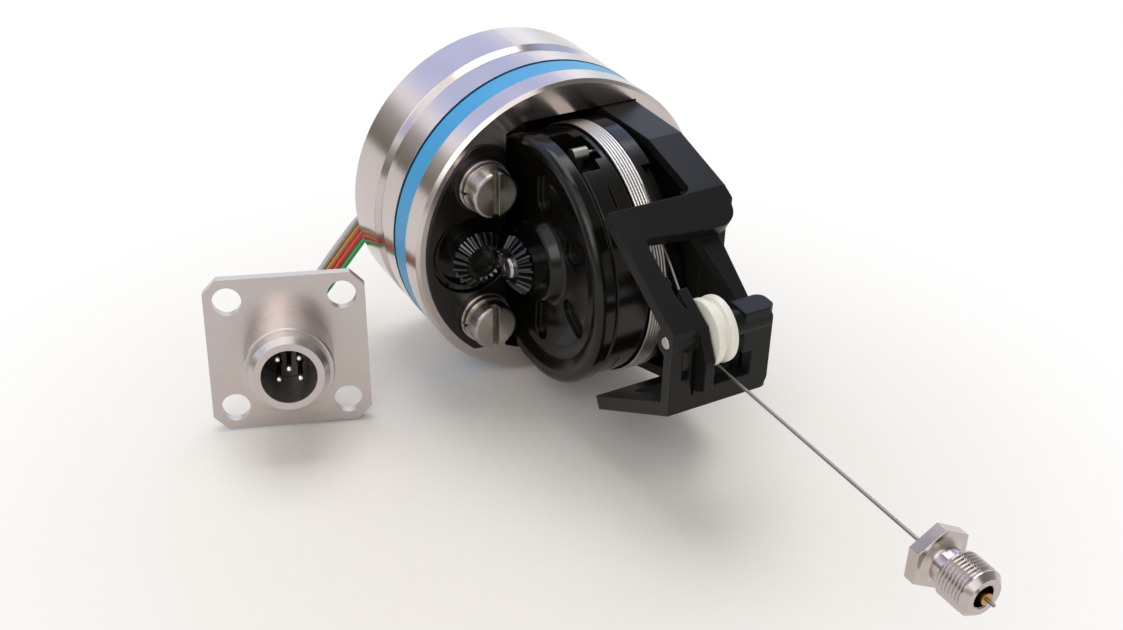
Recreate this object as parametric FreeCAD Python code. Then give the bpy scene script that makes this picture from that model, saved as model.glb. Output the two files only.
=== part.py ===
import FreeCAD, Part
import math
import os

# Draw wire encoder for building into a hydraulic cylinder, in millimetres.
# Origin: centre of the rear face. +X runs along the housing to the wire's free end,
# +Y along the drum shaft, away from the bevel gears, and +Z is up.
# The housing lies on its side, and the connector stands on the same surface.

V = FreeCAD.Vector
Rotation = FreeCAD.Rotation
Placement = FreeCAD.Placement
X_AXIS = V(1, 0, 0)
Y_AXIS = V(0, 1, 0)
Z_AXIS = V(0, 0, 1)

# Clearances
FIT_GAP = 0.02  # bush in its seat, ring in its groove
RUN_GAP = 0.03  # shaft in its bush
PLATE_GAP = 0.15  # moulding in its recess
MOVE_GAP = 0.5  # moving piece beside a fixed one

# Steel housing
HOUSING_R = 24.0
HOUSING_L = 23.3
FRONT_CHAMFER = 0.5
REAR_CHAMFER = 0.4
LOCK_GROOVE_X = 8.0
LOCK_GROOVE_W = 3.4
LOCK_GROOVE_DEPTH = 0.6
SEAL_GROOVE_W = 4.25
SEAL_GROOVE_DEPTH = 2.6
FRONT_LAND_W = 4.1
PARTITION_T = 2.0
COVER_R = 20.4
COVER_T = 2.0
CHAMBER_R = 16.6

# Seal
SLIDE_RING_W = 3.65
SLIDE_RING_T = 1.05
ORING_SECTION = 1.45
ORING_SIDES = 12

# Drum, on an axis square to the housing's
DRUM_AHEAD = 6.3  # drum axis in front of the housing's front face
DRUM_BACK_GAP = 0.8
BAND_R = 18.3
BAND_Y0 = -5.3
TRACK_Y0 = 0.0
TRACK_Y1 = 2.74
TRACK_FLOOR_R = 18.2
FLANGE_Y1 = 5.4
FLANGE_R = 18.9
CHAMBER_DRUM_R = 13.2
WEB_T = 1.5
DRUM_HUB_R = 4.6
DRUM_HUB_L = 2.2
SHAFT_R = 1.7
SHAFT_END_Y = -12.8
SHAFT_CHAMFER = 0.3
DISC_R = 18.7
DISC_RIM_T = 3.0
DISC_RIM_W = 2.0
DISC_RIM_ROUND = 1.2
DISC_WEB_T = 1.5
DISC_BOSS_R = 6.0
DISC_BOSS_T = 3.4
HOLLOWS = 6
HOLLOW_R = 10.6
HOLLOW_W = 3.4
HOLLOW_L = 6.2
HOLLOW_DEPTH = 0.9
POCKET_ANGLE_0 = 66.0
POCKET_ANGLE_1 = 97.0
POCKET_DEPTH = 4.2
POCKET_SHELF_Y = -2.0
POCKET_END_Y = -0.8
SLIT_DEPTH = 0.9
SLIT_HALF_W = 0.14
WINDOW_WALL = 0.8
WINDOW_DEPTH = 1.3
ANCHOR_R = 0.95
ANCHOR_L = 2.3
ANCHOR_BELOW_BAND = -0.2
ANCHOR_Y = 1.1  # from the band's left edge
ANCHOR_ANGLE = 80.0

# Measuring wire
WIRE_D = 0.45
STRANDS = 6
STRAND_PITCH = 0.45
WIRE_TO_FITTING = 82.95  # front face of the housing to the back of the end fitting, at rest

# Power spring in the drum
SPRING_STRIP_T = 0.18
SPRING_STRIP_W = 5.0
SPRING_TURNS = 7
ARBOR_R = 3.3
ARBOR_BORE_R = 2.5
BUSH_R = 2.48
BUSH_L = 3.0

# Bevel gear pair of equal gears, whose axes cross at the apex
TEETH = 20
GEAR_R = 4.2  # pitch radius at the big end
GEAR_FACE = 2.1  # tooth length along the pitch cone
TOOTH_ABOVE = 0.34
TOOTH_BELOW = 0.46
TOOTH_SHARE = 0.46  # share of the pitch taken by a tooth
PRESSURE_ANGLE = 20.0
APEX_Y = -15.0
GEAR_FLOOR = 0.78  # floor of the sensor gear's hollow, as a share of the pitch radius
SENSOR_HUB_R = 2.4
SENSOR_HUB_L = 0.35
DRUM_GEAR_HUB_R = 3.1
DRUM_GEAR_HUB_L = 1.2
SENSOR_SHAFT_R = 0.9
SENSOR_BUSH_R = 1.9
MAGNET_R = 2.6
MAGNET_T = 2.2
MAGNET_CUP_R = 3.0
MAGNET_CUP_T = 0.8
MAGNET_BORE_R = 3.5

# Gear carrier and its screws
SCREW_Y = -13.57
SCREW_Z = 10.95
LOBE_R = 5.9
GEAR_RECESS_R = 6.5
RECESS_LIMIT_R = 22.2
RECESS_DEPTH = 3.2
CARRIER_BELOW_FACE = 0.2
CARRIER_LIP = 0.4
SEAT_BOSS = 0.5
SEAT_RIM = 0.1
HEAD_R = 3.5
HEAD_H = 2.6
HEAD_ROUND = 0.4
SLOT_W = 1.0
SLOT_DEPTH = 1.1
WASHER_R = 3.8
WASHER_T = 1.0
WASHER_SPLIT = 0.5
FLAT_WASHER_R = 3.95
FLAT_WASHER_T = 0.8
SCREW_R = 2.0
SCREW_CORE_R = 1.6
SCREW_L = 10.0

# Pocket in the housing's front face
POCKET_LEFT_Y = -9.6
POCKET_RIGHT_Y = 12.0
POCKET_HALF_H = 19.1
POCKET_LIMIT_R = 20.2
ARM_RECESS_LIMIT_R = 22.7

# Guide frame
FRAME_LEFT_Y = -6.95
WALL_Y0 = 8.6
WALL_Y1 = 11.7
WALL_HALF_H = 15.6
ARM_Y1 = 11.7
ARM_T = 1.6
ARM_BEND_AHEAD = 12.6
BAR_AHEAD = 23.9  # back edge of the cross bars in front of the housing
BAR_Z = 15.8
BAR_W = 5.1
ARM_CORNER_R = 1.7
BAR_CORNER_R = 3.2
BAR_END_IN = 1.2  # the bar's end narrows by this towards the window
WINDOW_CORNER_R = 1.0
BAR_END_S = 6.1
BAR_END_T = 2.6
LEG_STEP_S = 11.2
LEG_STEP_L = 1.4
LEG_STEP = 0.35
PLATE_T = 2.0
NOSE_PAST_ROLLER = 1.77
NOSE_HALF_H = 6.3
NOSE_WALL_T = 1.9
NOSE_RIGHT_Y = 8.8
NOSE_CORNER_R = 1.3
NOSE_WALL_ROUND = 1.8
NOSE_TOP_L = 2.35
NOSE_BLOCK_L = 3.7
NOSE_BLOCK_OUT = 0.4  # past the nose's right edge
NOSE_TOP_T = 1.9
LEG_INNER_Y = -3.9
RIGHT_LEG_TOP_Y = (4.7, 8.3)
RIGHT_LEG_END_Y = (5.6, 7.3)
RIGHT_LEG_END_S = 16.6
SIDE_WEB_Y = (6.3, 7.2)
RIGHT_LEG_DROP = 2.0
FLANGE_OUT_Y = 19.6
FLANGE_HALF_H = 10.6
FRAME_SCREW_Y = 15.75
FRAME_SCREW_Z = 6.4
FRAME_FLANGE_T = 3.0
BEARING_BOSS_R = 5.0
SIDE_POCKET_R = 13.6
SIDE_POCKET_ANGLES = (35, 90, 145, 215, 270, 325)
SIDE_POCKET_SPAN = 40
SIDE_POCKET_FLOOR = 1.2

# Roller and its pin
ROLLER_AHEAD = 39.13
ROLLER_R = 4.55
ROLLER_W = 3.0
ROLLER_RIM = 0.75
WIRE_BEND_R = 4.12  # wire's own radius round the roller
PIN_R = 0.9
CHEEK_GAP = 0.25
CHEEK_T = 1.4
FINGER_PAST_NOSE = 2.3
FINGER_LOW_Z = -2.2
OPENING_RIGHT_Y = 4.3
OPENING_STEP_Y = 5.8
OPENING_BOTTOM_Z = -3.4
NOSE_SLOT_IN = 1.75  # from the nose's left face
NOSE_SLOT_W = 1.15
NOSE_SLOT_Z0 = -1.2
NOSE_SLOT_Z1 = 4.9
CHEEK_SLOT_W = 0.45
CHEEK_SLOT_HALF_H = 3.9

# End fitting on the wire
HEX_AF = 7.15
HEX_T = 1.6
NECK_R = 2.2
NECK_L = 1.9
FITTING_THREAD_R = 3.0
FITTING_THREAD_L = 4.9
FITTING_CHAMFER = 0.7
SOCKET_R = 1.4
SOCKET_DEPTH = 1.6
SOCKET_CHAMFER = 0.15
FERRULE_R = 0.75
FERRULE_L = 3.4
FERRULE_PROUD = 0.35
TIP_L = 1.1

# Electronics
BOARD_R = 15.6
BOARD_T = 1.6
BOARD_X = 3.6
SENSOR_POCKET_R = 5.2
SENSOR_WALL = 2.0
SENSOR_BOARD_R = 4.7
SENSOR_BOARD_T = 1.0
CHIP = 4.0
CHIP_T = 0.9
COVER_SCREW_R = 1.0
COVER_SCREW_PCR = 18.2
COVER_SCREW_L = 5.0
COVER_SCREWS = 3
GROMMET_R = 3.6
GROMMET_Y = -8.0
GROMMET_Z = -5.0
GROMMET_PROUD = 1.0
LEAD_D = 0.85
LEAD_PITCH = 1.0
LEAD_STRAIGHT = 3.4
LEAD_IN = 1.3

# Connector with a square flange
FLANGE = 23.1
FLANGE_T = 1.75
FLANGE_CORNER = 2.05
HOLE_EDGE = 3.35  # from the flange's edge to the hole's centre
HOLE_R = 2.1
BARREL_R = 6.45
BARREL_L = 7.75
THREAD_R = 5.75
THREAD_L = 2.25
THREAD_CHAMFER = 0.8
CAVITY_R = 3.94
CAVITY_DEPTH = 9.8
INSERT_T = 2.0
CONTACT_R = 0.45
CONTACT_PCR = 2.15
CONTACT_L = 7.05
CONTACT_TAIL = 1.0
KEY_W = 1.2
KEY_L = 6.0
KEY_T = 0.95
KEY_TURN = -85.0
BACK_R = 7.4
BACK_L = 3.5
POTTING_IN = 0.4  # from the back's end to the resin
GASKET_SECTION = 0.9
CONNECTOR_LEAN = 11.6  # leans back, on its lower edge
CONNECTOR_YAW = -19.3
CONNECTOR_AHEAD = -5.4  # middle of the flange's face, from the housing's front face
CONNECTOR_Y = -42.4

# Places that follow from the sizes above
FRONT = HOUSING_L
DRUM_X = FRONT + DRUM_AHEAD
SEAL_X1 = FRONT - FRONT_LAND_W
SEAL_X0 = SEAL_X1 - SEAL_GROOVE_W
SEAL_FLOOR_R = HOUSING_R - SEAL_GROOVE_DEPTH
POCKET_X = DRUM_X - FLANGE_R - DRUM_BACK_GAP
CHAMBER_X1 = POCKET_X - PARTITION_T
WIRE_R = WIRE_D / 2
TRACK_WIRE_R = TRACK_FLOOR_R + 0.25 + WIRE_R
ROLLER_X = FRONT + ROLLER_AHEAD
ROLLER_Z = WIRE_BEND_R
BAR_X = FRONT + BAR_AHEAD
NOSE_X = ROLLER_X + NOSE_PAST_ROLLER
SLOPE = math.atan2(BAR_Z - NOSE_HALF_H, NOSE_X - BAR_X)
SLOPE_L = math.hypot(BAR_Z - NOSE_HALF_H, NOSE_X - BAR_X)
ARM_TOP_Z = POCKET_HALF_H - PLATE_GAP
FRONT_WALL_Y0 = FLANGE_Y1 + MOVE_GAP
FITTING_X = FRONT + WIRE_TO_FITTING
GEAR_X = DRUM_X - GEAR_R
CARRIER_TOP = FRONT - CARRIER_BELOW_FACE
RECESS_X = FRONT - RECESS_DEPTH
SCREW_SEAT = CARRIER_TOP + SEAT_BOSS
MAGNET_CUP_X1 = RECESS_X - 0.3
MAGNET_X1 = MAGNET_CUP_X1 - MAGNET_CUP_T
MAGNET_X0 = MAGNET_X1 - MAGNET_T
MAGNET_BORE_X = MAGNET_X0 - MOVE_GAP
SENSOR_POCKET_X = MAGNET_BORE_X - SENSOR_WALL


def cylinder(radius, start, length, axis=X_AXIS):
    """Cylinder from the point start along axis."""
    return Part.makeCylinder(radius, length, V(*start), axis)


def x_ring(r_out, r_in, x0, x1, y=0.0, z=0.0):
    """Ring about a line along X through (y, z)."""
    outer = cylinder(r_out, (x0, y, z), x1 - x0)
    return outer.cut(cylinder(r_in, (x0 - 1, y, z), x1 - x0 + 2))


def y_ring(r_out, r_in, y0, y1, x=DRUM_X, z=0.0):
    """Ring about a line along Y through (x, z)."""
    outer = cylinder(r_out, (x, y0, z), y1 - y0, Y_AXIS)
    return outer.cut(cylinder(r_in, (x, y0 - 1, z), y1 - y0 + 2, Y_AXIS))


def y_disc(radius, y0, y1, x=DRUM_X, z=0.0):
    """Cylinder about a line along Y."""
    return cylinder(radius, (x, y0, z), y1 - y0, Y_AXIS)


def box(x0, x1, y0, y1, z0, z1):
    """Box between two corners."""
    return Part.makeBox(x1 - x0, y1 - y0, z1 - z0, V(x0, y0, z0))


def face_of(points):
    """Flat face inside a closed outline of straight edges."""
    return Part.Face(Part.makePolygon(points + [points[0]]))


def y_plate(outline, y0, y1):
    """Plate with an outline of (x, z) points, between two Y planes."""
    return face_of([V(x, y0, z) for x, z in outline]).extrude(V(0, y1 - y0, 0))


def x_plate(outline, x0, x1):
    """Plate with an outline of (y, z) points, between two X planes."""
    return face_of([V(x0, y, z) for y, z in outline]).extrude(V(x1 - x0, 0, 0))


def z_plate(outline, z0, z1):
    """Plate with an outline of (x, y) points, between two Z planes."""
    return face_of([V(x, y, z0) for x, y in outline]).extrude(V(0, 0, z1 - z0))


def corner_fill(x, y, radius, z0, z1):
    """Material in a hollow corner at (x, y), open towards +X and +Y, with a round of the given radius."""
    square = box(x - FIT_GAP, x + radius, y - FIT_GAP, y + radius, z0, z1)
    return square.cut(cylinder(radius, (x + radius, y + radius, z0 - 1), z1 - z0 + 2, Z_AXIS))


def turned_x(profile, y=0.0, z=0.0):
    """Solid turned about a line along X, from (x, radius) points."""
    face = face_of([V(x, y, z + r) for x, r in profile])
    return face.revolve(V(0, y, z), X_AXIS, 360)


def turned_y(profile, x=DRUM_X, z=0.0):
    """Solid turned about a line along Y, from (y, radius) points."""
    face = face_of([V(x, y, z + r) for y, r in profile])
    return face.revolve(V(x, 0, z), Y_AXIS, 360)


def round_edges(solid, radius, keep):
    """Fillet of the edges for which keep(edge) holds."""
    edges = [edge for edge in solid.Edges if keep(edge)]
    return solid.makeFillet(radius, edges) if edges else solid


def middle(edge):
    """Point in the middle of an edge."""
    return edge.valueAt((edge.FirstParameter + edge.LastParameter) / 2)


def mirrored_z(shape):
    """Shape and its mirror image below the plane z = 0."""
    return shape.fuse(shape.mirror(V(0, 0, 0), Z_AXIS))


def wedge(angle_0, angle_1, reach, y0, y1):
    """Sector about the drum's axis, with angles in degrees from +X towards +Z."""
    steps = 8
    outline = [(DRUM_X, 0.0)]
    for i in range(steps + 1):
        a = math.radians(angle_0 + (angle_1 - angle_0) * i / steps)
        outline.append((DRUM_X + reach * math.cos(a), reach * math.sin(a)))
    return y_plate(outline, y0, y1)


def side_recess(x0, x1, gap):
    """Lobed plate left of the drum pocket, inset all round by gap."""
    lobe = LOBE_R - gap
    right = POCKET_LEFT_Y - gap
    shape = box(x0, x1, SCREW_Y - lobe, right, -SCREW_Z, SCREW_Z)
    for z in (-SCREW_Z, SCREW_Z):
        shape = shape.fuse(cylinder(lobe, (x0, SCREW_Y, z), x1 - x0))
    shape = shape.fuse(cylinder(GEAR_RECESS_R - gap, (x0, APEX_Y, 0), x1 - x0))
    limit = cylinder(RECESS_LIMIT_R - gap, (x0, 0, 0), x1 - x0)
    left = box(x0, x1, -HOUSING_R, right, -HOUSING_R, HOUSING_R)
    return shape.common(limit).common(left).removeSplitter()


def flange_recess(x0, x1, gap):
    """Flat recess right of the drum pocket for the guide frame's flange."""
    outer = FLANGE_OUT_Y + 0.3 - gap
    half = FLANGE_HALF_H + 0.3 - gap
    shape = box(x0, x1, WALL_Y1 - 1, outer, -half, half)
    return shape.common(cylinder(RECESS_LIMIT_R - gap, (x0, 0, 0), x1 - x0))


def housing_body():
    """Turned steel body with its grooves, pocket, recesses and bores."""
    g0, g1 = LOCK_GROOVE_X, LOCK_GROOVE_X + LOCK_GROOVE_W
    depth = LOCK_GROOVE_DEPTH
    profile = [
        (0, 0),
        (0, HOUSING_R - REAR_CHAMFER),
        (REAR_CHAMFER, HOUSING_R),
        (g0, HOUSING_R),
        (g0 + depth, HOUSING_R - depth),
        (g1 - depth, HOUSING_R - depth),
        (g1, HOUSING_R),
        (SEAL_X0, HOUSING_R),
        (SEAL_X0, SEAL_FLOOR_R),
        (SEAL_X1, SEAL_FLOOR_R),
        (SEAL_X1, HOUSING_R),
        (FRONT - FRONT_CHAMFER, HOUSING_R),
        (FRONT, HOUSING_R - FRONT_CHAMFER),
        (FRONT, 0),
    ]
    body = turned_x(profile)
    pocket = box(POCKET_X, FRONT + 1, POCKET_LEFT_Y, POCKET_RIGHT_Y, -POCKET_HALF_H, POCKET_HALF_H)
    body = body.cut(pocket.common(cylinder(POCKET_LIMIT_R, (POCKET_X, 0, 0), HOUSING_L)))
    arms_x = FRONT - FRAME_FLANGE_T
    arms = box(arms_x, FRONT + 1, FRONT_WALL_Y0 - 1, POCKET_RIGHT_Y, -POCKET_HALF_H, POCKET_HALF_H)
    body = body.cut(arms.common(cylinder(ARM_RECESS_LIMIT_R, (0, 0, 0), HOUSING_L + 2)))
    body = body.cut(side_recess(RECESS_X, FRONT + 1, 0.0))
    body = body.cut(flange_recess(RECESS_X, FRONT + 1, 0.0))
    body = body.cut(cylinder(MAGNET_BORE_R, (MAGNET_BORE_X, APEX_Y, 0), RECESS_X - MAGNET_BORE_X + 1))
    body = body.cut(cylinder(COVER_R + FIT_GAP, (-1, 0, 0), COVER_T + 1))
    body = body.cut(cylinder(CHAMBER_R, (0, 0, 0), CHAMBER_X1))
    body = body.cut(cylinder(SENSOR_POCKET_R, (0, APEX_Y + 1.0, 0), SENSOR_POCKET_X))
    for y, z in screw_places():
        body = body.cut(cylinder(SCREW_CORE_R + FIT_GAP, (RECESS_X - SCREW_L + 1, y, z), SCREW_L))
    for y, z in cover_screw_places():
        body = body.cut(cylinder(COVER_SCREW_R + FIT_GAP, (0, y, z), COVER_SCREW_L + 0.5))
    return body


def screw_places():
    """(y, z) of the four screws in the housing's front face."""
    left = [(SCREW_Y, z) for z in (SCREW_Z, -SCREW_Z)]
    return left + [(FRAME_SCREW_Y, z) for z in (FRAME_SCREW_Z, -FRAME_SCREW_Z)]


def cover_screw_places():
    """(y, z) of the rear cover's screws."""
    angles = [math.radians(30 + 360 * i / COVER_SCREWS) for i in range(COVER_SCREWS)]
    return [(COVER_SCREW_PCR * math.cos(a), COVER_SCREW_PCR * math.sin(a)) for a in angles]


def seal_ring():
    """Flat slide ring that shows in the seal groove."""
    x1 = SEAL_X1 - 0.05
    r_out = HOUSING_R - 0.05
    return x_ring(r_out, r_out - SLIDE_RING_T, x1 - SLIDE_RING_W, x1)


def seal_energiser():
    """Rubber ring under the slide ring."""
    r = ORING_SECTION / 2
    x = (SEAL_X0 + SEAL_X1) / 2
    centre = SEAL_FLOOR_R + FIT_GAP + r
    steps = [2 * math.pi * i / ORING_SIDES for i in range(ORING_SIDES)]
    return turned_x([(x + r * math.sin(a), centre + r * math.cos(a)) for a in steps])


def rear_cover():
    """Plate that closes the electronics chamber."""
    cover = cylinder(COVER_R, (0, 0, 0), COVER_T)
    cover = cover.cut(cylinder(GROMMET_R + FIT_GAP, (-1, GROMMET_Y, GROMMET_Z), COVER_T + 2))
    for y, z in cover_screw_places():
        cover = cover.cut(cylinder(COVER_SCREW_R + 0.2, (-1, y, z), COVER_T + 2))
        r = COVER_SCREW_R
        cover = cover.cut(Part.makeCone(2 * r + 0.1, r + 0.1, r, V(0, y, z), X_AXIS))
    return cover


def cover_screws():
    """Countersunk screws of the rear cover, as one group."""
    screws = []
    for y, z in cover_screw_places():
        shank_r = COVER_SCREW_R - FIT_GAP
        head = Part.makeCone(2 * COVER_SCREW_R, shank_r, COVER_SCREW_R, V(0.05, y, z), X_AXIS)
        screw = head.fuse(cylinder(shank_r, (0.5, y, z), COVER_SCREW_L - 0.5))
        screw = screw.cut(box(-1, 0.55, y - 0.25, y + 0.25, z - 3, z + 3))
        screws.append(screw)
    return Part.makeCompound(screws)


def lead_offsets():
    """Heights of the leads above the grommet's middle, lowest first."""
    return [(i - 1.5) * LEAD_PITCH for i in range(4)]


def lead_grommet():
    """Rubber grommet that the leads leave through."""
    neck = cylinder(GROMMET_R, (-GROMMET_PROUD, GROMMET_Y, GROMMET_Z), GROMMET_PROUD + COVER_T)
    collar = cylinder(GROMMET_R + 0.9, (-GROMMET_PROUD, GROMMET_Y, GROMMET_Z), GROMMET_PROUD - 0.01)
    grommet = neck.fuse(collar)
    for dz in lead_offsets():
        grommet = grommet.cut(cylinder(LEAD_D / 2 + FIT_GAP, (-2, GROMMET_Y, GROMMET_Z + dz), COVER_T + 3))
    return grommet


def circuit_board():
    """Main board in the rear chamber."""
    board = cylinder(BOARD_R, (BOARD_X, 0, 0), BOARD_T)
    return board.cut(box(BOARD_X - 1, BOARD_X + BOARD_T + 1, BOARD_R - 2, BOARD_R + 1, -BOARD_R, BOARD_R))


def board_x_stack():
    """X of the sensor board's back, near the closed end of its pocket."""
    return SENSOR_POCKET_X - CHIP_T - SENSOR_BOARD_T - 0.3


def sensor_board():
    """Small board with its pins, that carries the chip to the magnet."""
    x0 = board_x_stack()
    y = APEX_Y + 1.0
    board = cylinder(SENSOR_BOARD_R, (x0, y, 0), SENSOR_BOARD_T)
    for z in (-2.5, 0.0, 2.5):
        board = board.fuse(cylinder(0.35, (BOARD_X + BOARD_T, y, z), x0 - BOARD_X - BOARD_T + 0.2))
    return board


def sensor_chip():
    """Magnetic sensor that faces the magnet through the steel wall."""
    x0 = board_x_stack() + SENSOR_BOARD_T
    return box(x0, x0 + CHIP_T, APEX_Y - CHIP / 2, APEX_Y + CHIP / 2, -CHIP / 2, CHIP / 2)


def washer_seat(y, z):
    """Raised round seat under a screw's flat washer."""
    x0 = RECESS_X + 1
    return cylinder(FLAT_WASHER_R + SEAT_RIM, (x0, y, z), SCREW_SEAT - x0)


def gear_carrier():
    """Moulding that holds the sensor gear's bush, under two screws."""
    base = side_recess(RECESS_X + 0.02, CARRIER_TOP - CARRIER_LIP, PLATE_GAP)
    base = base.fuse(side_recess(RECESS_X + 0.02, CARRIER_TOP, PLATE_GAP + CARRIER_LIP))
    base = base.cut(cylinder(GEAR_R + 1.3, (CARRIER_TOP - 1.2, APEX_Y, 0), 3))
    base = base.fuse(cylinder(SENSOR_BUSH_R + 1.1, (RECESS_X + 1, APEX_Y, 0), GEAR_X - RECESS_X - 2.4))
    base = base.cut(cylinder(SENSOR_BUSH_R + FIT_GAP, (RECESS_X - 1, APEX_Y, 0), 9))
    for z in (-SCREW_Z, SCREW_Z):
        base = base.fuse(washer_seat(SCREW_Y, z))
        base = base.cut(cylinder(SCREW_R + 0.2, (RECESS_X - 1, SCREW_Y, z), 9))
    return base.removeSplitter()


def screw_at(y, z, seat):
    """Slotted cheese-head screw on its two washers, the lower one on x = seat."""
    under = seat + FLAT_WASHER_T + WASHER_T
    top = under + HEAD_H
    soft = HEAD_ROUND * 0.3
    head = turned_x(
        [(under, 0), (under, HEAD_R), (top - HEAD_ROUND, HEAD_R), (top - soft, HEAD_R - soft),
         (top, HEAD_R - HEAD_ROUND), (top, 0)], y, z)
    shank = cylinder(SCREW_CORE_R, (seat - SCREW_L + 0.5, y, z), under - seat + SCREW_L - 0.3)
    slot = box(top - SLOT_DEPTH, top + 1, y - SLOT_W / 2, y + SLOT_W / 2, z - 5, z + 5)
    return head.fuse(shank).cut(slot)


def fixing_screws():
    """The four screws of the front face, as one group."""
    return Part.makeCompound([screw_at(y, z, SCREW_SEAT) for y, z in screw_places()])


def lock_washers():
    """Split spring washers under the screw heads, as one group."""
    rings = []
    x0 = SCREW_SEAT + FLAT_WASHER_T
    for y, z in screw_places():
        ring = x_ring(WASHER_R, SCREW_R + 0.1, x0 + 0.01, x0 + WASHER_T - 0.01, y, z)
        gap = box(x0 - 1, x0 + 2, y - 5, y, z - WASHER_SPLIT / 2, z + WASHER_SPLIT / 2)
        rings.append(ring.cut(gap))
    return Part.makeCompound(rings)


def flat_washers():
    """Flat washers under the spring washers, as one group."""
    x0, x1 = SCREW_SEAT, SCREW_SEAT + FLAT_WASHER_T
    rings = [x_ring(FLAT_WASHER_R, SCREW_R + 0.15, x0, x1, y, z) for y, z in screw_places()]
    return Part.makeCompound(rings)


def tooth(clear):
    """One bevel tooth on +Z of a gear about +X, with its apex at the origin and its big end at x < 0."""
    half = math.pi * GEAR_R / TEETH * TOOTH_SHARE - clear
    slope = math.tan(math.radians(PRESSURE_ANGLE))
    sin45 = math.sqrt(0.5)
    sections = []
    for share in (1.0, 1 - GEAR_FACE / (GEAR_R / sin45)):
        corners = []
        low = -TOOTH_BELOW - 0.1
        for side, height in ((-1, low), (-1, TOOTH_ABOVE), (1, TOOTH_ABOVE), (1, low)):
            width = half - height * slope
            # The section stands square to the pitch cone
            along = -GEAR_R + height * sin45
            out = GEAR_R + height * sin45
            corners.append(V(along * share, side * width * share, out * share))
        sections.append(Part.makePolygon(corners + [corners[0]]))
    return Part.makeLoft(sections, True, True)


def bevel_gear(hub_r, hub_l):
    """Bevel gear about +X, apex at the origin, hub towards -X."""
    sin45 = math.sqrt(0.5)
    small = 1 - GEAR_FACE / (GEAR_R / sin45)
    root = TOOTH_BELOW * sin45
    big_x, big_r = -GEAR_R - root, GEAR_R - root
    small_x, small_r = big_x * small, big_r * small
    profile = [
        (big_x - 0.55, 0),
        (big_x - 0.55, big_r - 0.55),
        (big_x, big_r),
        (small_x, small_r),
        (small_x, 0),
    ]
    gear = turned_x(profile)
    teeth = []
    first = tooth(0.0)
    for i in range(TEETH):
        turned = first.copy()
        turned.rotate(V(0, 0, 0), X_AXIS, 360 * i / TEETH)
        teeth.append(turned)
    gear = gear.fuse(teeth)
    gear = gear.fuse(cylinder(hub_r, (big_x - 0.55 - hub_l, 0, 0), hub_l + 0.3))
    return gear


def sensor_gear():
    """Bevel gear on the sensor shaft, about X."""
    gear = bevel_gear(SENSOR_HUB_R, SENSOR_HUB_L)
    gear = gear.cut(cylinder(SENSOR_SHAFT_R + 0.01, (-2 * GEAR_R, 0, 0), 2 * GEAR_R))
    gear = gear.cut(cylinder(GEAR_R * 0.42, (-GEAR_R * GEAR_FLOOR, 0, 0), GEAR_R))
    gear.rotate(V(0, 0, 0), X_AXIS, 90 + 180.0 / TEETH)
    gear.translate(V(DRUM_X, APEX_Y, 0))
    return gear


def drum_gear():
    """Bevel gear on the drum shaft, about Y."""
    gear = bevel_gear(DRUM_GEAR_HUB_R, DRUM_GEAR_HUB_L)
    gear = gear.cut(cylinder(SHAFT_R + 0.01, (-3 * GEAR_R, 0, 0), 3 * GEAR_R))
    gear.rotate(V(0, 0, 0), Z_AXIS, -90)
    gear.rotate(V(0, 0, 0), Y_AXIS, -90)
    gear.translate(V(DRUM_X, APEX_Y, 0))
    return gear


def sensor_shaft():
    """Steel spindle of the sensor gear, with the cup that holds the magnet."""
    x1 = DRUM_X - GEAR_R * GEAR_FLOOR
    shaft = cylinder(SENSOR_SHAFT_R, (MAGNET_X1 + 0.2, APEX_Y, 0), x1 - MAGNET_X1 - 0.3)
    cup = x_ring(MAGNET_CUP_R, MAGNET_R + 0.01, MAGNET_X0 + 0.4, MAGNET_CUP_X1, APEX_Y, 0)
    plate = cylinder(MAGNET_CUP_R, (MAGNET_X1, APEX_Y, 0), MAGNET_CUP_T)
    return shaft.fuse(plate).fuse(cup)


def sensor_magnet():
    """Disc magnet in its cup."""
    return cylinder(MAGNET_R, (MAGNET_X0, APEX_Y, 0), MAGNET_T - 0.01)


def sensor_bush():
    """Bush of the sensor shaft, in the gear carrier."""
    return x_ring(SENSOR_BUSH_R, SENSOR_SHAFT_R + RUN_GAP, RECESS_X + 0.05, GEAR_X - 1.45, APEX_Y, 0)


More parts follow.
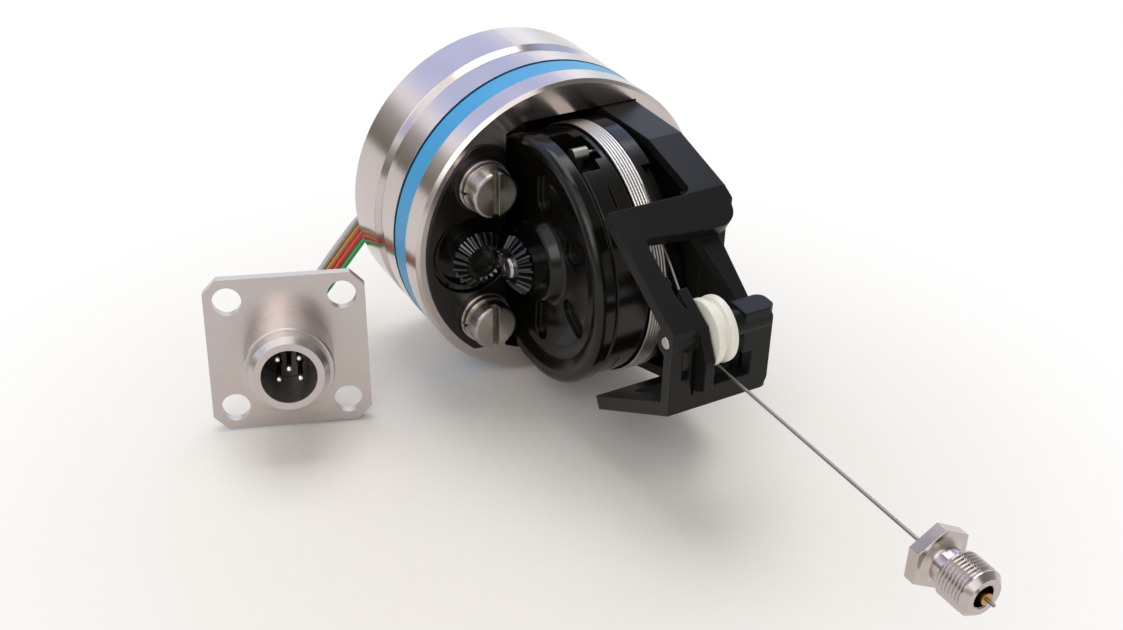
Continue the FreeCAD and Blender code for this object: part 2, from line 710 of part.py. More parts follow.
def drum():
    """Wire drum: band, wire track, flange, web and hub, open to the right for its spring."""
    profile = [
        (BAND_Y0, SHAFT_R + 0.01),
        (BAND_Y0, BAND_R - 0.4),
        (BAND_Y0 + 0.4, BAND_R),
        (TRACK_Y0, BAND_R),
        (TRACK_Y0, TRACK_FLOOR_R),
        (TRACK_Y1, TRACK_FLOOR_R),
        (TRACK_Y1, FLANGE_R),
        (FLANGE_Y1 - 0.3, FLANGE_R),
        (FLANGE_Y1, FLANGE_R - 0.3),
        (FLANGE_Y1, CHAMBER_DRUM_R),
        (BAND_Y0 + WEB_T, CHAMBER_DRUM_R),
        (BAND_Y0 + WEB_T, DRUM_HUB_R),
        (BAND_Y0 + WEB_T + DRUM_HUB_L, DRUM_HUB_R),
        (BAND_Y0 + WEB_T + DRUM_HUB_L, SHAFT_R + 0.01),
    ]
    body = turned_y(profile)
    inner = y_disc(BAND_R - POCKET_DEPTH, BAND_Y0 - 1, TRACK_Y0 + 1)
    reach = 2 * FLANGE_R
    near = wedge(POCKET_ANGLE_0, POCKET_ANGLE_1, reach, BAND_Y0 - 1, POCKET_SHELF_Y).cut(inner)
    step = wedge(POCKET_ANGLE_0 + 6, POCKET_ANGLE_1 - 6, reach, POCKET_SHELF_Y - 0.1, POCKET_END_Y)
    body = body.cut(near).cut(step.cut(inner))
    core = y_disc(BAND_R - SLIT_DEPTH, BAND_Y0 - 1, TRACK_Y0 + 1)
    slits = ((46, 56, -2.4, SLIT_HALF_W), (-43, -30, -2.85, SLIT_HALF_W), (110, 115.5, -2.4, 1.3))
    for a0, a1, y, half in slits:
        body = body.cut(wedge(a0, a1, reach, y - half, y + half).cut(core))
    rim = y_disc(FLANGE_R - WINDOW_DEPTH, TRACK_Y1, FLANGE_Y1 + 1)
    for a0, a1 in ((20, 62), (-82, -40), (140, 182)):
        body = body.cut(wedge(a0, a1, reach, TRACK_Y1 + WINDOW_WALL, FLANGE_Y1 + 1).cut(rim))
    return body


def end_disc():
    """Dished disc on the drum's left face, with hollows round its boss."""
    y0 = BAND_Y0 - DISC_RIM_T
    web_y = BAND_Y0 - DISC_WEB_T
    boss_y = BAND_Y0 - DISC_BOSS_T
    rim_r = DISC_R - DISC_RIM_W
    turns = [math.radians(90 * i / 4) for i in range(5)]
    bead = DISC_RIM_ROUND
    back_y = BAND_Y0 - FIT_GAP
    profile = [(back_y, SHAFT_R + 0.2), (back_y, DISC_R - 0.4), (BAND_Y0 - 0.4, DISC_R)]
    profile += [(y0 + bead * (1 - math.sin(a)), DISC_R - bead * (1 - math.cos(a))) for a in turns]
    profile += [
        (y0 + 0.25, rim_r),
        (web_y - 0.3, rim_r - 1.6),
        (web_y, rim_r - 3.6),
        (web_y, DISC_BOSS_R + 1.1),
        (web_y - 0.3, DISC_BOSS_R + 0.6),
        (boss_y + 0.3, DISC_BOSS_R),
        (boss_y, DISC_BOSS_R - 0.3),
        (boss_y, SHAFT_R + 0.2),
    ]
    disc = turned_y(profile)
    for i in range(HOLLOWS):
        a = math.radians(30 + 360 * i / HOLLOWS)
        hollow = oval_hollow(a, web_y)
        disc = disc.cut(hollow)
    return disc


def oval_hollow(angle, y_face):
    """Rounded hollow, long side towards the drum's axis."""
    half = (HOLLOW_L - HOLLOW_W) / 2
    r = HOLLOW_W / 2
    shape = box(-half, half, y_face - 1, y_face + HOLLOW_DEPTH, -r, r)
    for x in (-half, half):
        shape = shape.fuse(cylinder(r, (x, y_face - 1, 0), HOLLOW_DEPTH + 1, Y_AXIS))
    shape.translate(V(HOLLOW_R, 0, 0))
    shape.rotate(V(0, 0, 0), Y_AXIS, -math.degrees(angle))
    shape.translate(V(DRUM_X, 0, 0))
    return shape


def spring_cover():
    """Disc that closes the spring chamber on the drum's right face."""
    return y_ring(CHAMBER_DRUM_R - FIT_GAP, ARBOR_R + 0.4, FLANGE_Y1 - 1.0, FLANGE_Y1 - 0.1)


def power_spring():
    """Flat spiral spring, wound of half turns whose radius grows each time."""
    y0 = BAND_Y0 + WEB_T + DRUM_HUB_L + MOVE_GAP
    y1 = y0 + SPRING_STRIP_W
    r_in = ARBOR_R + FIT_GAP + SPRING_STRIP_T / 2
    r_out = CHAMBER_DRUM_R - MOVE_GAP - SPRING_STRIP_T / 2
    step = (r_out - r_in) / (2 * SPRING_TURNS)
    edges = []
    start = V(-r_in, 0, 0)
    for i in range(2 * SPRING_TURNS):
        side = 1 if i % 2 == 0 else -1
        radius = r_in + step * (i + 0.5)
        end = V(start.x + side * 2 * radius, 0, 0)
        top = V((start.x + end.x) / 2, 0, side * radius)
        edges.append(Part.Arc(start, top, end).toShape())
        start = end
    half = SPRING_STRIP_T / 2
    outer = [shifted_arc(edge, half) for edge in edges]
    inner = [shifted_arc(edge, -half) for edge in edges]
    first = Part.makeLine(inner[0].Vertexes[0].Point, outer[0].Vertexes[0].Point)
    last = Part.makeLine(outer[-1].Vertexes[-1].Point, inner[-1].Vertexes[-1].Point)
    wire = Part.Wire(Part.__sortEdges__(outer + inner + [first, last]))
    strip = Part.Face(wire).extrude(V(0, y1 - y0, 0))
    strip.translate(V(DRUM_X, y0, 0))
    return strip


def shifted_arc(edge, shift):
    """Half circle beside another one, with the same centre."""
    circle = edge.Curve
    ends = [v.Point for v in edge.Vertexes]
    c = circle.Center
    r = circle.Radius + shift
    mid = middle(edge)
    points = [c + (p - c).normalize() * r for p in (ends[0], mid, ends[1])]
    return Part.Arc(*points).toShape()


def drum_shaft():
    """Steel shaft of the drum, with a centre hole and a ring groove."""
    y1 = WALL_Y1 + 1.3
    c = SHAFT_CHAMFER
    shaft = turned_y([(SHAFT_END_Y, 0), (SHAFT_END_Y, SHAFT_R - c), (SHAFT_END_Y + c, SHAFT_R),
                      (y1 - c, SHAFT_R), (y1, SHAFT_R - c), (y1, 0)])
    shaft = shaft.cut(y_disc(0.65, SHAFT_END_Y - 1, SHAFT_END_Y + 1.2))
    return shaft.cut(y_ring(SHAFT_R + 1, SHAFT_R - 0.3, WALL_Y1 + 0.3, WALL_Y1 + 0.9))


def shaft_clip():
    """Retaining ring on the shaft's right end."""
    ring = y_ring(SHAFT_R + 1.1, SHAFT_R - 0.28, WALL_Y1 + 0.34, WALL_Y1 + 0.86)
    return ring.cut(box(DRUM_X, DRUM_X + 5, WALL_Y1, WALL_Y1 + 2, -0.9, 0.9))


def spring_arbor():
    """Fixed steel tube that the spring's inner end hooks on, and the shaft runs in."""
    return y_ring(ARBOR_R, ARBOR_BORE_R, BAND_Y0 + WEB_T + DRUM_HUB_L + 0.4, WALL_Y1 - 0.02)


def shaft_bushes():
    """Two plain bushes in the arbor, as one group."""
    y0 = BAND_Y0 + WEB_T + DRUM_HUB_L + 0.5
    y1 = WALL_Y1 - 0.1
    bore = SHAFT_R + RUN_GAP
    return Part.makeCompound([y_ring(BUSH_R, bore, y0, y0 + BUSH_L), y_ring(BUSH_R, bore, y1 - BUSH_L, y1)])


def strand_y(i):
    """Y of a wound strand, the first beside the band."""
    spare = (TRACK_Y1 - TRACK_Y0 - (STRANDS - 1) * STRAND_PITCH) / 2
    return TRACK_Y0 + spare + i * STRAND_PITCH


def wire_winding():
    """Wound layer of wire: one ridge for each turn, on a thin sleeve."""
    r_in = TRACK_FLOOR_R + FIT_GAP
    r_valley = TRACK_WIRE_R + WIRE_R * 0.35
    r_top = TRACK_WIRE_R + WIRE_R
    half = STRAND_PITCH / 2 - 0.01
    profile = [(strand_y(0) - half, r_in)]
    for i in range(STRANDS):
        y = strand_y(i)
        profile += [(y - half, r_valley), (y - half / 2, r_top - 0.04)]
        profile += [(y, r_top), (y + half / 2, r_top - 0.04)]
    profile += [(strand_y(STRANDS - 1) + half, r_valley), (strand_y(STRANDS - 1) + half, r_in)]
    return turned_y(profile)


def wire_anchor():
    """Crimped end of the wire, in the band's pocket."""
    a = math.radians(ANCHOR_ANGLE)
    r = BAND_R - ANCHOR_BELOW_BAND - ANCHOR_R
    drop = r - (BAND_R - POCKET_DEPTH) - FIT_GAP
    y0 = BAND_Y0 + ANCHOR_Y
    crimp = cylinder(ANCHOR_R, (0, y0, 0), ANCHOR_L, Y_AXIS)
    stem = cylinder(WIRE_R, (0, y0 + ANCHOR_L, 0), POCKET_END_Y - y0 - ANCHOR_L - 0.05, Y_AXIS)
    post = cylinder(ANCHOR_R * 0.8, (0, y0 + ANCHOR_L / 2, -drop), drop, Z_AXIS)
    shape = crimp.fuse(stem).fuse(post)
    shape.translate(V(0, 0, r))
    shape.rotate(V(0, 0, 0), Y_AXIS, 90 - math.degrees(a))
    shape.translate(V(DRUM_X, 0, 0))
    return shape


def tangent_points():
    """Ends of the straight wire from drum to roller, as (x, z) pairs, and its slope."""
    dx, dz = ROLLER_X - DRUM_X, ROLLER_Z
    distance = math.hypot(dx, dz)
    slope = math.atan2(dz, dx) - math.asin((TRACK_WIRE_R + WIRE_BEND_R) / distance)
    leave = (DRUM_X - TRACK_WIRE_R * math.sin(slope), TRACK_WIRE_R * math.cos(slope))
    meet = (ROLLER_X + WIRE_BEND_R * math.sin(slope), ROLLER_Z - WIRE_BEND_R * math.cos(slope))
    return leave, meet, slope


def wire_lead_in():
    """Wire from the drum to the roller and round its underside."""
    leave, meet, slope = tangent_points()
    corner = V(meet[0], 0, meet[1])
    toward = corner - V(leave[0], strand_y(STRANDS - 1), leave[1])
    clear = math.sqrt((TRACK_WIRE_R + WIRE_D + FIT_GAP) ** 2 - TRACK_WIRE_R ** 2) + WIRE_R
    start = corner - toward * (1 - clear / toward.Length)
    end = V(ROLLER_X, 0, 0)
    section = Part.Face(Part.Wire(Part.makeCircle(WIRE_R, start, corner - start)))
    run = section.extrude(corner - start)
    ball = Part.makeSphere(WIRE_R, corner)
    arc_section = Part.Face(Part.Wire(Part.makeCircle(WIRE_R, end, X_AXIS)))
    bend = arc_section.revolve(V(ROLLER_X, 0, ROLLER_Z), Y_AXIS, math.degrees(-slope))
    return run.fuse(ball).fuse(bend)


def wire_run():
    """Straight wire from under the roller to the end fitting."""
    return cylinder(WIRE_R, (ROLLER_X + 0.02, 0, 0), FITTING_X - ROLLER_X - 0.04)


def roller():
    """Grooved guide roller."""
    half = ROLLER_W / 2
    floor = WIRE_BEND_R - WIRE_R - 0.02
    rim = half - ROLLER_RIM
    profile = [
        (-half, PIN_R + RUN_GAP),
        (-half, ROLLER_R - 0.25),
        (-half + 0.25, ROLLER_R),
        (-rim - 0.25, ROLLER_R),
        (-rim, ROLLER_R - 0.25),
        (-0.3, floor),
        (0.3, floor),
        (rim, ROLLER_R - 0.25),
        (rim + 0.25, ROLLER_R),
        (half - 0.25, ROLLER_R),
        (half, ROLLER_R - 0.25),
        (half, PIN_R + RUN_GAP),
    ]
    return turned_y(profile, ROLLER_X, ROLLER_Z)


def roller_pin():
    """Steel pin of the roller, flush with the nose's left face."""
    y0, y1, c = FRAME_LEFT_Y - 0.05, NOSE_RIGHT_Y - 0.6, 0.15
    return turned_y([(y0, 0), (y0, PIN_R - c), (y0 + c, PIN_R), (y1, PIN_R), (y1, 0)], ROLLER_X, ROLLER_Z)


def pin_spacers():
    """Thin washers each side of the roller, as one group."""
    half = ROLLER_W / 2
    left = y_ring(PIN_R + 0.8, PIN_R + FIT_GAP, -half - 0.22, -half - 0.03, ROLLER_X, ROLLER_Z)
    right = y_ring(PIN_R + 0.8, PIN_R + FIT_GAP, half + 0.03, half + 0.22, ROLLER_X, ROLLER_Z)
    return Part.makeCompound([left, right])


def slope_z(x):
    """Height of the guide frame's slanted face at x."""
    return BAR_Z - (x - BAR_X) * math.tan(SLOPE)


def on_slope(shape):
    """Shape drawn flat, with x along the slope and its face at z = 0, in its slanted place."""
    shape.rotate(V(0, 0, 0), Y_AXIS, math.degrees(SLOPE))
    shape.translate(V(BAR_X, 0, BAR_Z))
    return shape


def slanted_plate():
    """Upper slanted plate: cross bar, left leg with the start of the nose, and the lower right leg."""
    end_y = ARM_Y1 - BAR_END_IN
    bar = z_plate(
        [(0, FRAME_LEFT_Y), (BAR_W, FRAME_LEFT_Y), (BAR_W, LEG_INNER_Y), (BAR_END_S, FRONT_WALL_Y0),
         (BAR_END_S, end_y), (0, ARM_Y1)], -PLATE_T, 0)
    bar = round_edges(bar, BAR_CORNER_R, lambda e: at(middle(e), BAR_END_S, end_y))
    end = box(0, BAR_END_S - 0.1, FRONT_WALL_Y0, end_y - BAR_CORNER_R, -BAR_END_T, -1)
    leg = box(0, SLOPE_L, FRAME_LEFT_Y, LEG_INNER_Y, -PLATE_T, 0)
    window_corner = corner_fill(BAR_W, LEG_INNER_Y, WINDOW_CORNER_R, -PLATE_T, 0)
    tooth = box(LEG_STEP_S, LEG_STEP_S + LEG_STEP_L, LEG_INNER_Y - 0.5, LEG_INNER_Y + LEG_STEP, -PLATE_T, 0)
    cheek_y = -ROLLER_W / 2 - CHEEK_GAP
    top = box(SLOPE_L - NOSE_TOP_L, SLOPE_L, FRAME_LEFT_Y, cheek_y, -PLATE_T, 0)
    curve = corner_fill(NOSE_TOP_L - SLOPE_L, LEG_INNER_Y, cheek_y - LEG_INNER_Y, -PLATE_T, 0)
    curve = curve.mirror(V(0, 0, 0), X_AXIS)
    (start_y0, start_y1), (end_y0, end_y1) = RIGHT_LEG_TOP_Y, RIGHT_LEG_END_Y
    start = BAR_W - 1
    right_leg = z_plate(
        [(start, start_y0), (RIGHT_LEG_END_S, end_y0), (RIGHT_LEG_END_S, end_y1), (start, start_y1)],
        -RIGHT_LEG_DROP - PLATE_T, -RIGHT_LEG_DROP + 0.01)
    return on_slope(bar.fuse([end, leg, window_corner, tooth, top, curve, right_leg]))


def at(point, x, y):
    """Whether a point lies over (x, y)."""
    return abs(point.x - x) < 0.01 and abs(point.y - y) < 0.01


def arm():
    """Upper arm, from the housing's recess to the cross bar."""
    x0 = FRONT - FRAME_FLANGE_T + PLATE_GAP
    bend_x = FRONT + ARM_BEND_AHEAD
    end_x = BAR_X + 2.0
    outline = [
        (x0, ARM_TOP_Z),
        (bend_x, ARM_TOP_Z),
        (BAR_X, BAR_Z),
        (end_x, slope_z(end_x)),
        (end_x, slope_z(end_x) - ARM_T),
        (BAR_X, BAR_Z - ARM_T),
        (bend_x, ARM_TOP_Z - ARM_T),
        (x0, ARM_TOP_Z - ARM_T),
    ]
    edge_y = FRONT_WALL_Y0 + 0.6
    corner_x, corner_y = BAR_X - ARM_CORNER_R, edge_y - ARM_CORNER_R
    plate = y_plate(outline, corner_y, ARM_Y1)
    beside = z_plate(
        [(x0 - 1, corner_y - 1), (x0 - 1, FRONT_WALL_Y0), (bend_x, FRONT_WALL_Y0 + 0.4), (corner_x, edge_y),
         (corner_x, corner_y), (BAR_X, corner_y), (BAR_X, corner_y - 1)], 0, HOUSING_R)
    round_end = cylinder(ARM_CORNER_R, (corner_x, corner_y, 0), HOUSING_R, Z_AXIS)
    return plate.cut(beside).cut(round_end).common(frame_room())


def frame_room():
    """Space that the guide frame may fill: the arm recess, and all that is ahead of the housing."""
    recess = cylinder(ARM_RECESS_LIMIT_R - PLATE_GAP, (0, 0, 0), FRONT + 0.5)
    ahead = box(FRONT + 0.4, NOSE_X + HOUSING_R, -2 * HOUSING_R, 2 * HOUSING_R, -HOUSING_R, HOUSING_R)
    return recess.fuse(ahead)


def side_wall():
    """Right wall of the guide frame, from the pocket's floor to behind the cross bars."""
    x0 = POCKET_X + 0.05
    x1 = FRONT - FRAME_FLANGE_T + PLATE_GAP
    bend_x = FRONT + ARM_BEND_AHEAD
    end_x = BAR_X - 0.8
    top = ARM_TOP_Z - 0.6
    upper = [
        (x0, WALL_HALF_H),
        (x1, WALL_HALF_H),
        (x1, top),
        (bend_x, top),
        (end_x, BAR_Z - 0.6),
    ]
    lower = [(x, -z) for x, z in reversed(upper)]
    return y_plate(upper + lower, WALL_Y0, WALL_Y1).common(frame_room())


def mirrored_outline(points):
    """Outline through (x, z) points and their mirror images below z = 0."""
    return points + [(x, -z) for x, z in reversed(points)]


def front_wall():
    """Cross wall behind the right end of the bars, and the thin side web from it to the nose."""
    x0 = BAR_X - 2.2
    x1 = BAR_X + BAR_END_S * math.cos(SLOPE) - 1.4
    under = 0.8
    wall = y_plate(
        mirrored_outline([(x0, BAR_Z - under), (BAR_X, BAR_Z - under), (x1, slope_z(x1) - under)]),
        FRONT_WALL_Y0, WALL_Y0 + 1.0)
    web_x = NOSE_X - NOSE_BLOCK_L + 0.5
    under_leg = (RIGHT_LEG_DROP + PLATE_T / 2) / math.cos(SLOPE)
    web = y_plate(
        mirrored_outline([(x1 - 0.5, slope_z(x1 - 0.5) - under_leg), (web_x, slope_z(web_x) - under_leg)]),
        *SIDE_WEB_Y)
    return wall.fuse(web)


def nose_blocks():
    """Thick right end of the nose, above and below, with the rib beside the roller."""
    x0 = NOSE_X - NOSE_BLOCK_L
    outer = NOSE_RIGHT_Y + NOSE_BLOCK_OUT
    top = box(x0, NOSE_X, OPENING_RIGHT_Y, outer, NOSE_HALF_H - NOSE_TOP_T, NOSE_HALF_H)
    top = round_edges(top, NOSE_CORNER_R,
                      lambda e: at(middle(e), x0, outer) or at(middle(e), NOSE_X, outer))
    bottom = top.mirror(V(0, 0, 0), Z_AXIS)
    rib = box(x0, NOSE_X, OPENING_RIGHT_Y, OPENING_STEP_Y, 0.3, NOSE_HALF_H - 0.1)
    side_half = NOSE_HALF_H - 1
    side = box(x0 + 0.6, NOSE_X - 0.5, NOSE_RIGHT_Y - 1.8, NOSE_RIGHT_Y - 0.15, -side_half, side_half)
    return top.fuse([bottom, rib, side])


def side_pockets():
    """Hollows that lighten the right wall from outside, between its ribs."""
    pockets = []
    half = SIDE_POCKET_SPAN / 2
    for a in SIDE_POCKET_ANGLES:
        pocket = wedge(a - half, a + half, SIDE_POCKET_R, WALL_Y0 + SIDE_POCKET_FLOOR, WALL_Y1 + 1)
        pockets.append(pocket.cut(y_disc(BEARING_BOSS_R + SIDE_POCKET_FLOOR, 0, WALL_Y1 + 2)))
    return Part.makeCompound(pockets)


def nose_wall():
    """Front wall of the nose with its web, pin bosses, cheek and finger."""
    x0 = NOSE_X - NOSE_WALL_T
    inner = -ROLLER_W / 2 - CHEEK_GAP
    wall = box(x0, NOSE_X, FRAME_LEFT_Y, NOSE_RIGHT_Y, -NOSE_HALF_H, NOSE_HALF_H)
    wall = round_edges(wall, NOSE_WALL_ROUND, lambda e: abs(middle(e).y - NOSE_RIGHT_Y) < 0.01 and
                       abs(abs(middle(e).z) - NOSE_HALF_H) < 0.01)
    left_boss = y_disc(PIN_R + 1.0, FRAME_LEFT_Y, inner, ROLLER_X, ROLLER_Z)
    right_boss = y_disc(PIN_R + 1.0, ROLLER_W / 2 + CHEEK_GAP, NOSE_RIGHT_Y - 0.15, ROLLER_X, ROLLER_Z)
    opening = box(x0 - 8, NOSE_X + 3, inner, OPENING_RIGHT_Y, OPENING_BOTTOM_Z, NOSE_HALF_H + 5)
    low = box(x0 - 8, NOSE_X + 3, inner, OPENING_STEP_Y, OPENING_BOTTOM_Z, 0.3)
    wall = wall.cut(opening).cut(low)
    finger_x = NOSE_X + FINGER_PAST_NOSE
    back_x = ROLLER_X - PIN_R - 2.6
    cheek_outline = [
        (back_x, slope_z(back_x)),
        (NOSE_X + 0.1, slope_z(NOSE_X + 0.1)),
        (finger_x, 2.1),
        (finger_x, FINGER_LOW_Z),
        (NOSE_X, OPENING_BOTTOM_Z),
        (back_x, OPENING_BOTTOM_Z),
    ]
    cheek = y_plate(cheek_outline, inner - CHEEK_T, inner)
    wall = wall.fuse([left_boss, right_boss, cheek])
    slot_y = FRAME_LEFT_Y + NOSE_SLOT_IN
    slot = box(x0 - 1, NOSE_X + 1, slot_y, slot_y + NOSE_SLOT_W, NOSE_SLOT_Z0, NOSE_SLOT_Z1)
    cheek_y = inner - CHEEK_T
    half = CHEEK_SLOT_HALF_H
    thin_slot = box(x0 - 1, NOSE_X + 1, cheek_y - CHEEK_SLOT_W, cheek_y, -half, half)
    return wall.cut(slot.fuse(thin_slot).cut(left_boss))


def guide_frame():
    """Moulded frame that carries the drum's arbor, and the roller at its nose."""
    frame = mirrored_z(slanted_plate().fuse(arm()))
    sill = on_slope(box(SLOPE_L - NOSE_TOP_L, SLOPE_L, FRAME_LEFT_Y, NOSE_RIGHT_Y - 1, -PLATE_T, 0))
    sill = sill.mirror(V(0, 0, 0), Z_AXIS)
    flange = flange_recess(RECESS_X + 0.02, CARRIER_TOP, PLATE_GAP)
    flange = flange.cut(box(0, ROLLER_X, -HOUSING_R, WALL_Y1 - 0.5, -HOUSING_R, HOUSING_R))
    frame = frame.fuse([sill, side_wall(), front_wall(), nose_wall(), nose_blocks(), flange])
    frame = frame.cut(side_pockets())
    frame = frame.fuse(y_disc(BEARING_BOSS_R, FLANGE_Y1 + MOVE_GAP, WALL_Y1))
    frame = frame.cut(y_disc(ARBOR_R + FIT_GAP, 0, WALL_Y1 + 1))
    frame = frame.cut(y_disc(PIN_R + FIT_GAP, FRAME_LEFT_Y - 1, NOSE_RIGHT_Y - 0.5, ROLLER_X, ROLLER_Z))
    for z in (-FRAME_SCREW_Z, FRAME_SCREW_Z):
        frame = frame.fuse(washer_seat(FRAME_SCREW_Y, z))
        frame = frame.cut(cylinder(SCREW_R + 0.2, (RECESS_X - 1, FRAME_SCREW_Y, z), HOUSING_L))
    return frame.removeSplitter()


def end_fitting():
    """Threaded stud with a hexagon, on the wire's free end."""
    x = FITTING_X
    corner_r = HEX_AF / 2 / math.cos(math.pi / 6)
    turns = [math.pi * i / 3 for i in range(6)]
    hexagon = [(corner_r * math.sin(a), corner_r * math.cos(a)) for a in turns]
    head = x_plate(hexagon, x, x + HEX_T)
    x1 = x + HEX_T
    x2 = x1 + NECK_L
    x3 = x2 + FITTING_THREAD_L
    c = FITTING_CHAMFER
    stud = turned_x([
        (x1 - 0.2, 0),
        (x1 - 0.2, NECK_R + 0.5),
        (x1 + 0.5, NECK_R + 0.5),
        (x1 + 0.5, NECK_R),
        (x2, NECK_R),
        (x2 + 0.5, FITTING_THREAD_R),
        (x3 - c, FITTING_THREAD_R),
        (x3, FITTING_THREAD_R - c),
        (x3, 0),
    ])
    body = head.fuse(stud)
    body = body.cut(cylinder(SOCKET_R, (x3 - SOCKET_DEPTH, 0, 0), SOCKET_DEPTH + 1))
    c = SOCKET_CHAMFER
    body = body.cut(Part.makeCone(SOCKET_R, SOCKET_R + c, c, V(x3 - c, 0, 0), X_AXIS))
    return body.cut(cylinder(FERRULE_R + FIT_GAP, (x - 1, 0, 0), 20))


def fitting_front():
    """X of the end fitting's front face."""
    return FITTING_X + HEX_T + NECK_L + FITTING_THREAD_L


def end_ferrule():
    """Brass ferrule crimped on the wire, in the fitting's bore."""
    front = fitting_front()
    x1 = front + FERRULE_PROUD
    bore = WIRE_R + 0.01
    collar = x_ring(SOCKET_R - 0.25, bore, front - SOCKET_DEPTH + 0.01, front - SOCKET_DEPTH + 0.5)
    return x_ring(FERRULE_R, bore, x1 - FERRULE_L, x1).fuse(collar)


def wire_tip():
    """Wire inside the end fitting and its cut end in front."""
    x1 = fitting_front() + FERRULE_PROUD + TIP_L
    return cylinder(WIRE_R, (FITTING_X, 0, 0), x1 - FITTING_X)


def placed(shape):
    """Connector piece, from its own frame to its place on the surface."""
    half = FLANGE / 2
    lean = math.radians(CONNECTOR_LEAN)
    height = half * math.cos(lean) + FLANGE_T * math.sin(lean) - HOUSING_R
    turn = Rotation(Z_AXIS, CONNECTOR_YAW).multiply(Rotation(Y_AXIS, -CONNECTOR_LEAN))
    spot = Placement(V(FRONT + CONNECTOR_AHEAD, CONNECTOR_Y, height), turn)
    shape = shape.copy()
    shape.Placement = spot.multiply(shape.Placement)
    return shape


def connector_shell():
    """Square flange and round barrel of the connector, about +X of its own frame."""
    h, c = FLANGE / 2, FLANGE_CORNER
    outline = [(-h, -h + c), (-h, h - c), (-h + c, h), (h - c, h)]
    outline += [(-y, -z) for y, z in outline]
    plate = x_plate(outline, -FLANGE_T, 0)
    t = BARREL_L + THREAD_L
    barrel = turned_x([
        (-FLANGE_T - BACK_L, 0),
        (-FLANGE_T - BACK_L, BACK_R - 0.3),
        (-FLANGE_T - BACK_L + 0.3, BACK_R),
        (-FLANGE_T + 0.2, BACK_R),
        (-FLANGE_T + 0.2, BARREL_R),
        (BARREL_L - 0.2, BARREL_R),
        (BARREL_L, BARREL_R - 0.2),
        (BARREL_L, THREAD_R),
        (t - THREAD_CHAMFER, THREAD_R),
        (t, THREAD_R - THREAD_CHAMFER),
        (t, 0),
    ])
    shell = plate.fuse(barrel)
    p = FLANGE / 2 - HOLE_EDGE
    for y in (-p, p):
        for z in (-p, p):
            shell = shell.cut(cylinder(HOLE_R, (-FLANGE_T - 1, y, z), FLANGE_T + 2))
    shell = shell.cut(cylinder(CAVITY_R, (-FLANGE_T - BACK_L - 1, 0, 0), FLANGE_T + BACK_L + t + 2))
    groove_x = -FLANGE_T - 0.6
    groove = x_ring(BACK_R + 0.1, BACK_R - GASKET_SECTION, groove_x - GASKET_SECTION, groove_x)
    return placed(shell.cut(groove))


def insert_front():
    """X of the insert's face, in the connector's frame."""
    return BARREL_L + THREAD_L - CAVITY_DEPTH


def contact_places():
    """(y, z) of the five contacts, the last in the middle."""
    ring = [(CONTACT_PCR * math.cos(a), CONTACT_PCR * math.sin(a)) for a in
            [math.radians(45 + 90 * i) for i in range(4)]]
    return ring + [(0.0, 0.0)]


def connector_insert():
    """Insulating insert with a coding key."""
    x1 = insert_front()
    body = cylinder(CAVITY_R - FIT_GAP, (x1 - INSERT_T, 0, 0), INSERT_T)
    key_top = CAVITY_R - 0.15
    key = box(x1 - 0.5, x1 + KEY_L, -KEY_W / 2, KEY_W / 2, key_top - KEY_T, key_top)
    key.rotate(V(0, 0, 0), X_AXIS, KEY_TURN)
    body = body.fuse(key)
    for y, z in contact_places():
        body = body.cut(cylinder(CONTACT_R + FIT_GAP, (x1 - INSERT_T - 1, y, z), INSERT_T + 2))
    return placed(body)


def connector_contacts():
    """Five gold contacts, as one group."""
    x1 = insert_front()
    pins = []
    for y, z in contact_places():
        tail_x = x1 - INSERT_T - CONTACT_TAIL
        pin = cylinder(CONTACT_R, (tail_x, y, z), x1 + CONTACT_L - 0.3 - tail_x)
        tip = Part.makeCone(CONTACT_R, CONTACT_R * 0.45, 0.3, V(x1 + CONTACT_L - 0.3, y, z), X_AXIS)
        pins.append(pin.fuse(tip))
    return placed(Part.makeCompound(pins))


def connector_gasket():
    """Rubber ring in the groove behind the flange."""
    s = GASKET_SECTION
    return placed(x_ring(BACK_R + 0.05, BACK_R - s + FIT_GAP, -FLANGE_T - 0.58 - s, -FLANGE_T - 0.62))


def connector_potting():
    """Resin that holds the leads in the back of the connector."""
    x0 = -FLANGE_T - BACK_L + POTTING_IN
    x1 = insert_front() - INSERT_T - CONTACT_TAIL - 0.1
    plug = cylinder(CAVITY_R - FIT_GAP, (x0, 0, 0), x1 - x0)
    for dz in lead_offsets():
        plug = plug.cut(cylinder(LEAD_D / 2 + FIT_GAP, (x0 - 1, 0, dz), 2.2))
    return placed(plug)


def connector_point(x, y, z):
    """Point of the connector's frame, as a point of the part's frame."""
    return placed(Part.Vertex(x, y, z)).Point


# Route of the lowest lead, and how far the next one lies from it at each point
LEAD_ROUTE = [
    (0.9, GROMMET_Y, GROMMET_Z - 1.5 * LEAD_PITCH),
    (-4.6, GROMMET_Y, GROMMET_Z - 1.5 * LEAD_PITCH),
    (-7.7, -14.5, -10.3),
    (-0.83, -24.98, -10.69),
    (6.0, -32.9, -12.5),
]
LEAD_STEP = [
    (0.0, 0.0, LEAD_PITCH),
    (0.0, 0.0, LEAD_PITCH),
    (-0.3, -0.4, 0.9),
    (-0.28, -0.61, 0.75),
    (-0.2, -0.35, 0.9),
]


def lead_points(index):
    """Route of one lead, from the grommet to the connector's potting."""
    points = [V(*p) + V(*s) * index for p, s in zip(LEAD_ROUTE, LEAD_STEP)]
    x0 = -FLANGE_T - BACK_L
    dz = lead_offsets()[index]
    return points + [connector_point(x0 - LEAD_STRAIGHT, 0, dz), connector_point(x0 + LEAD_IN, 0, dz)]


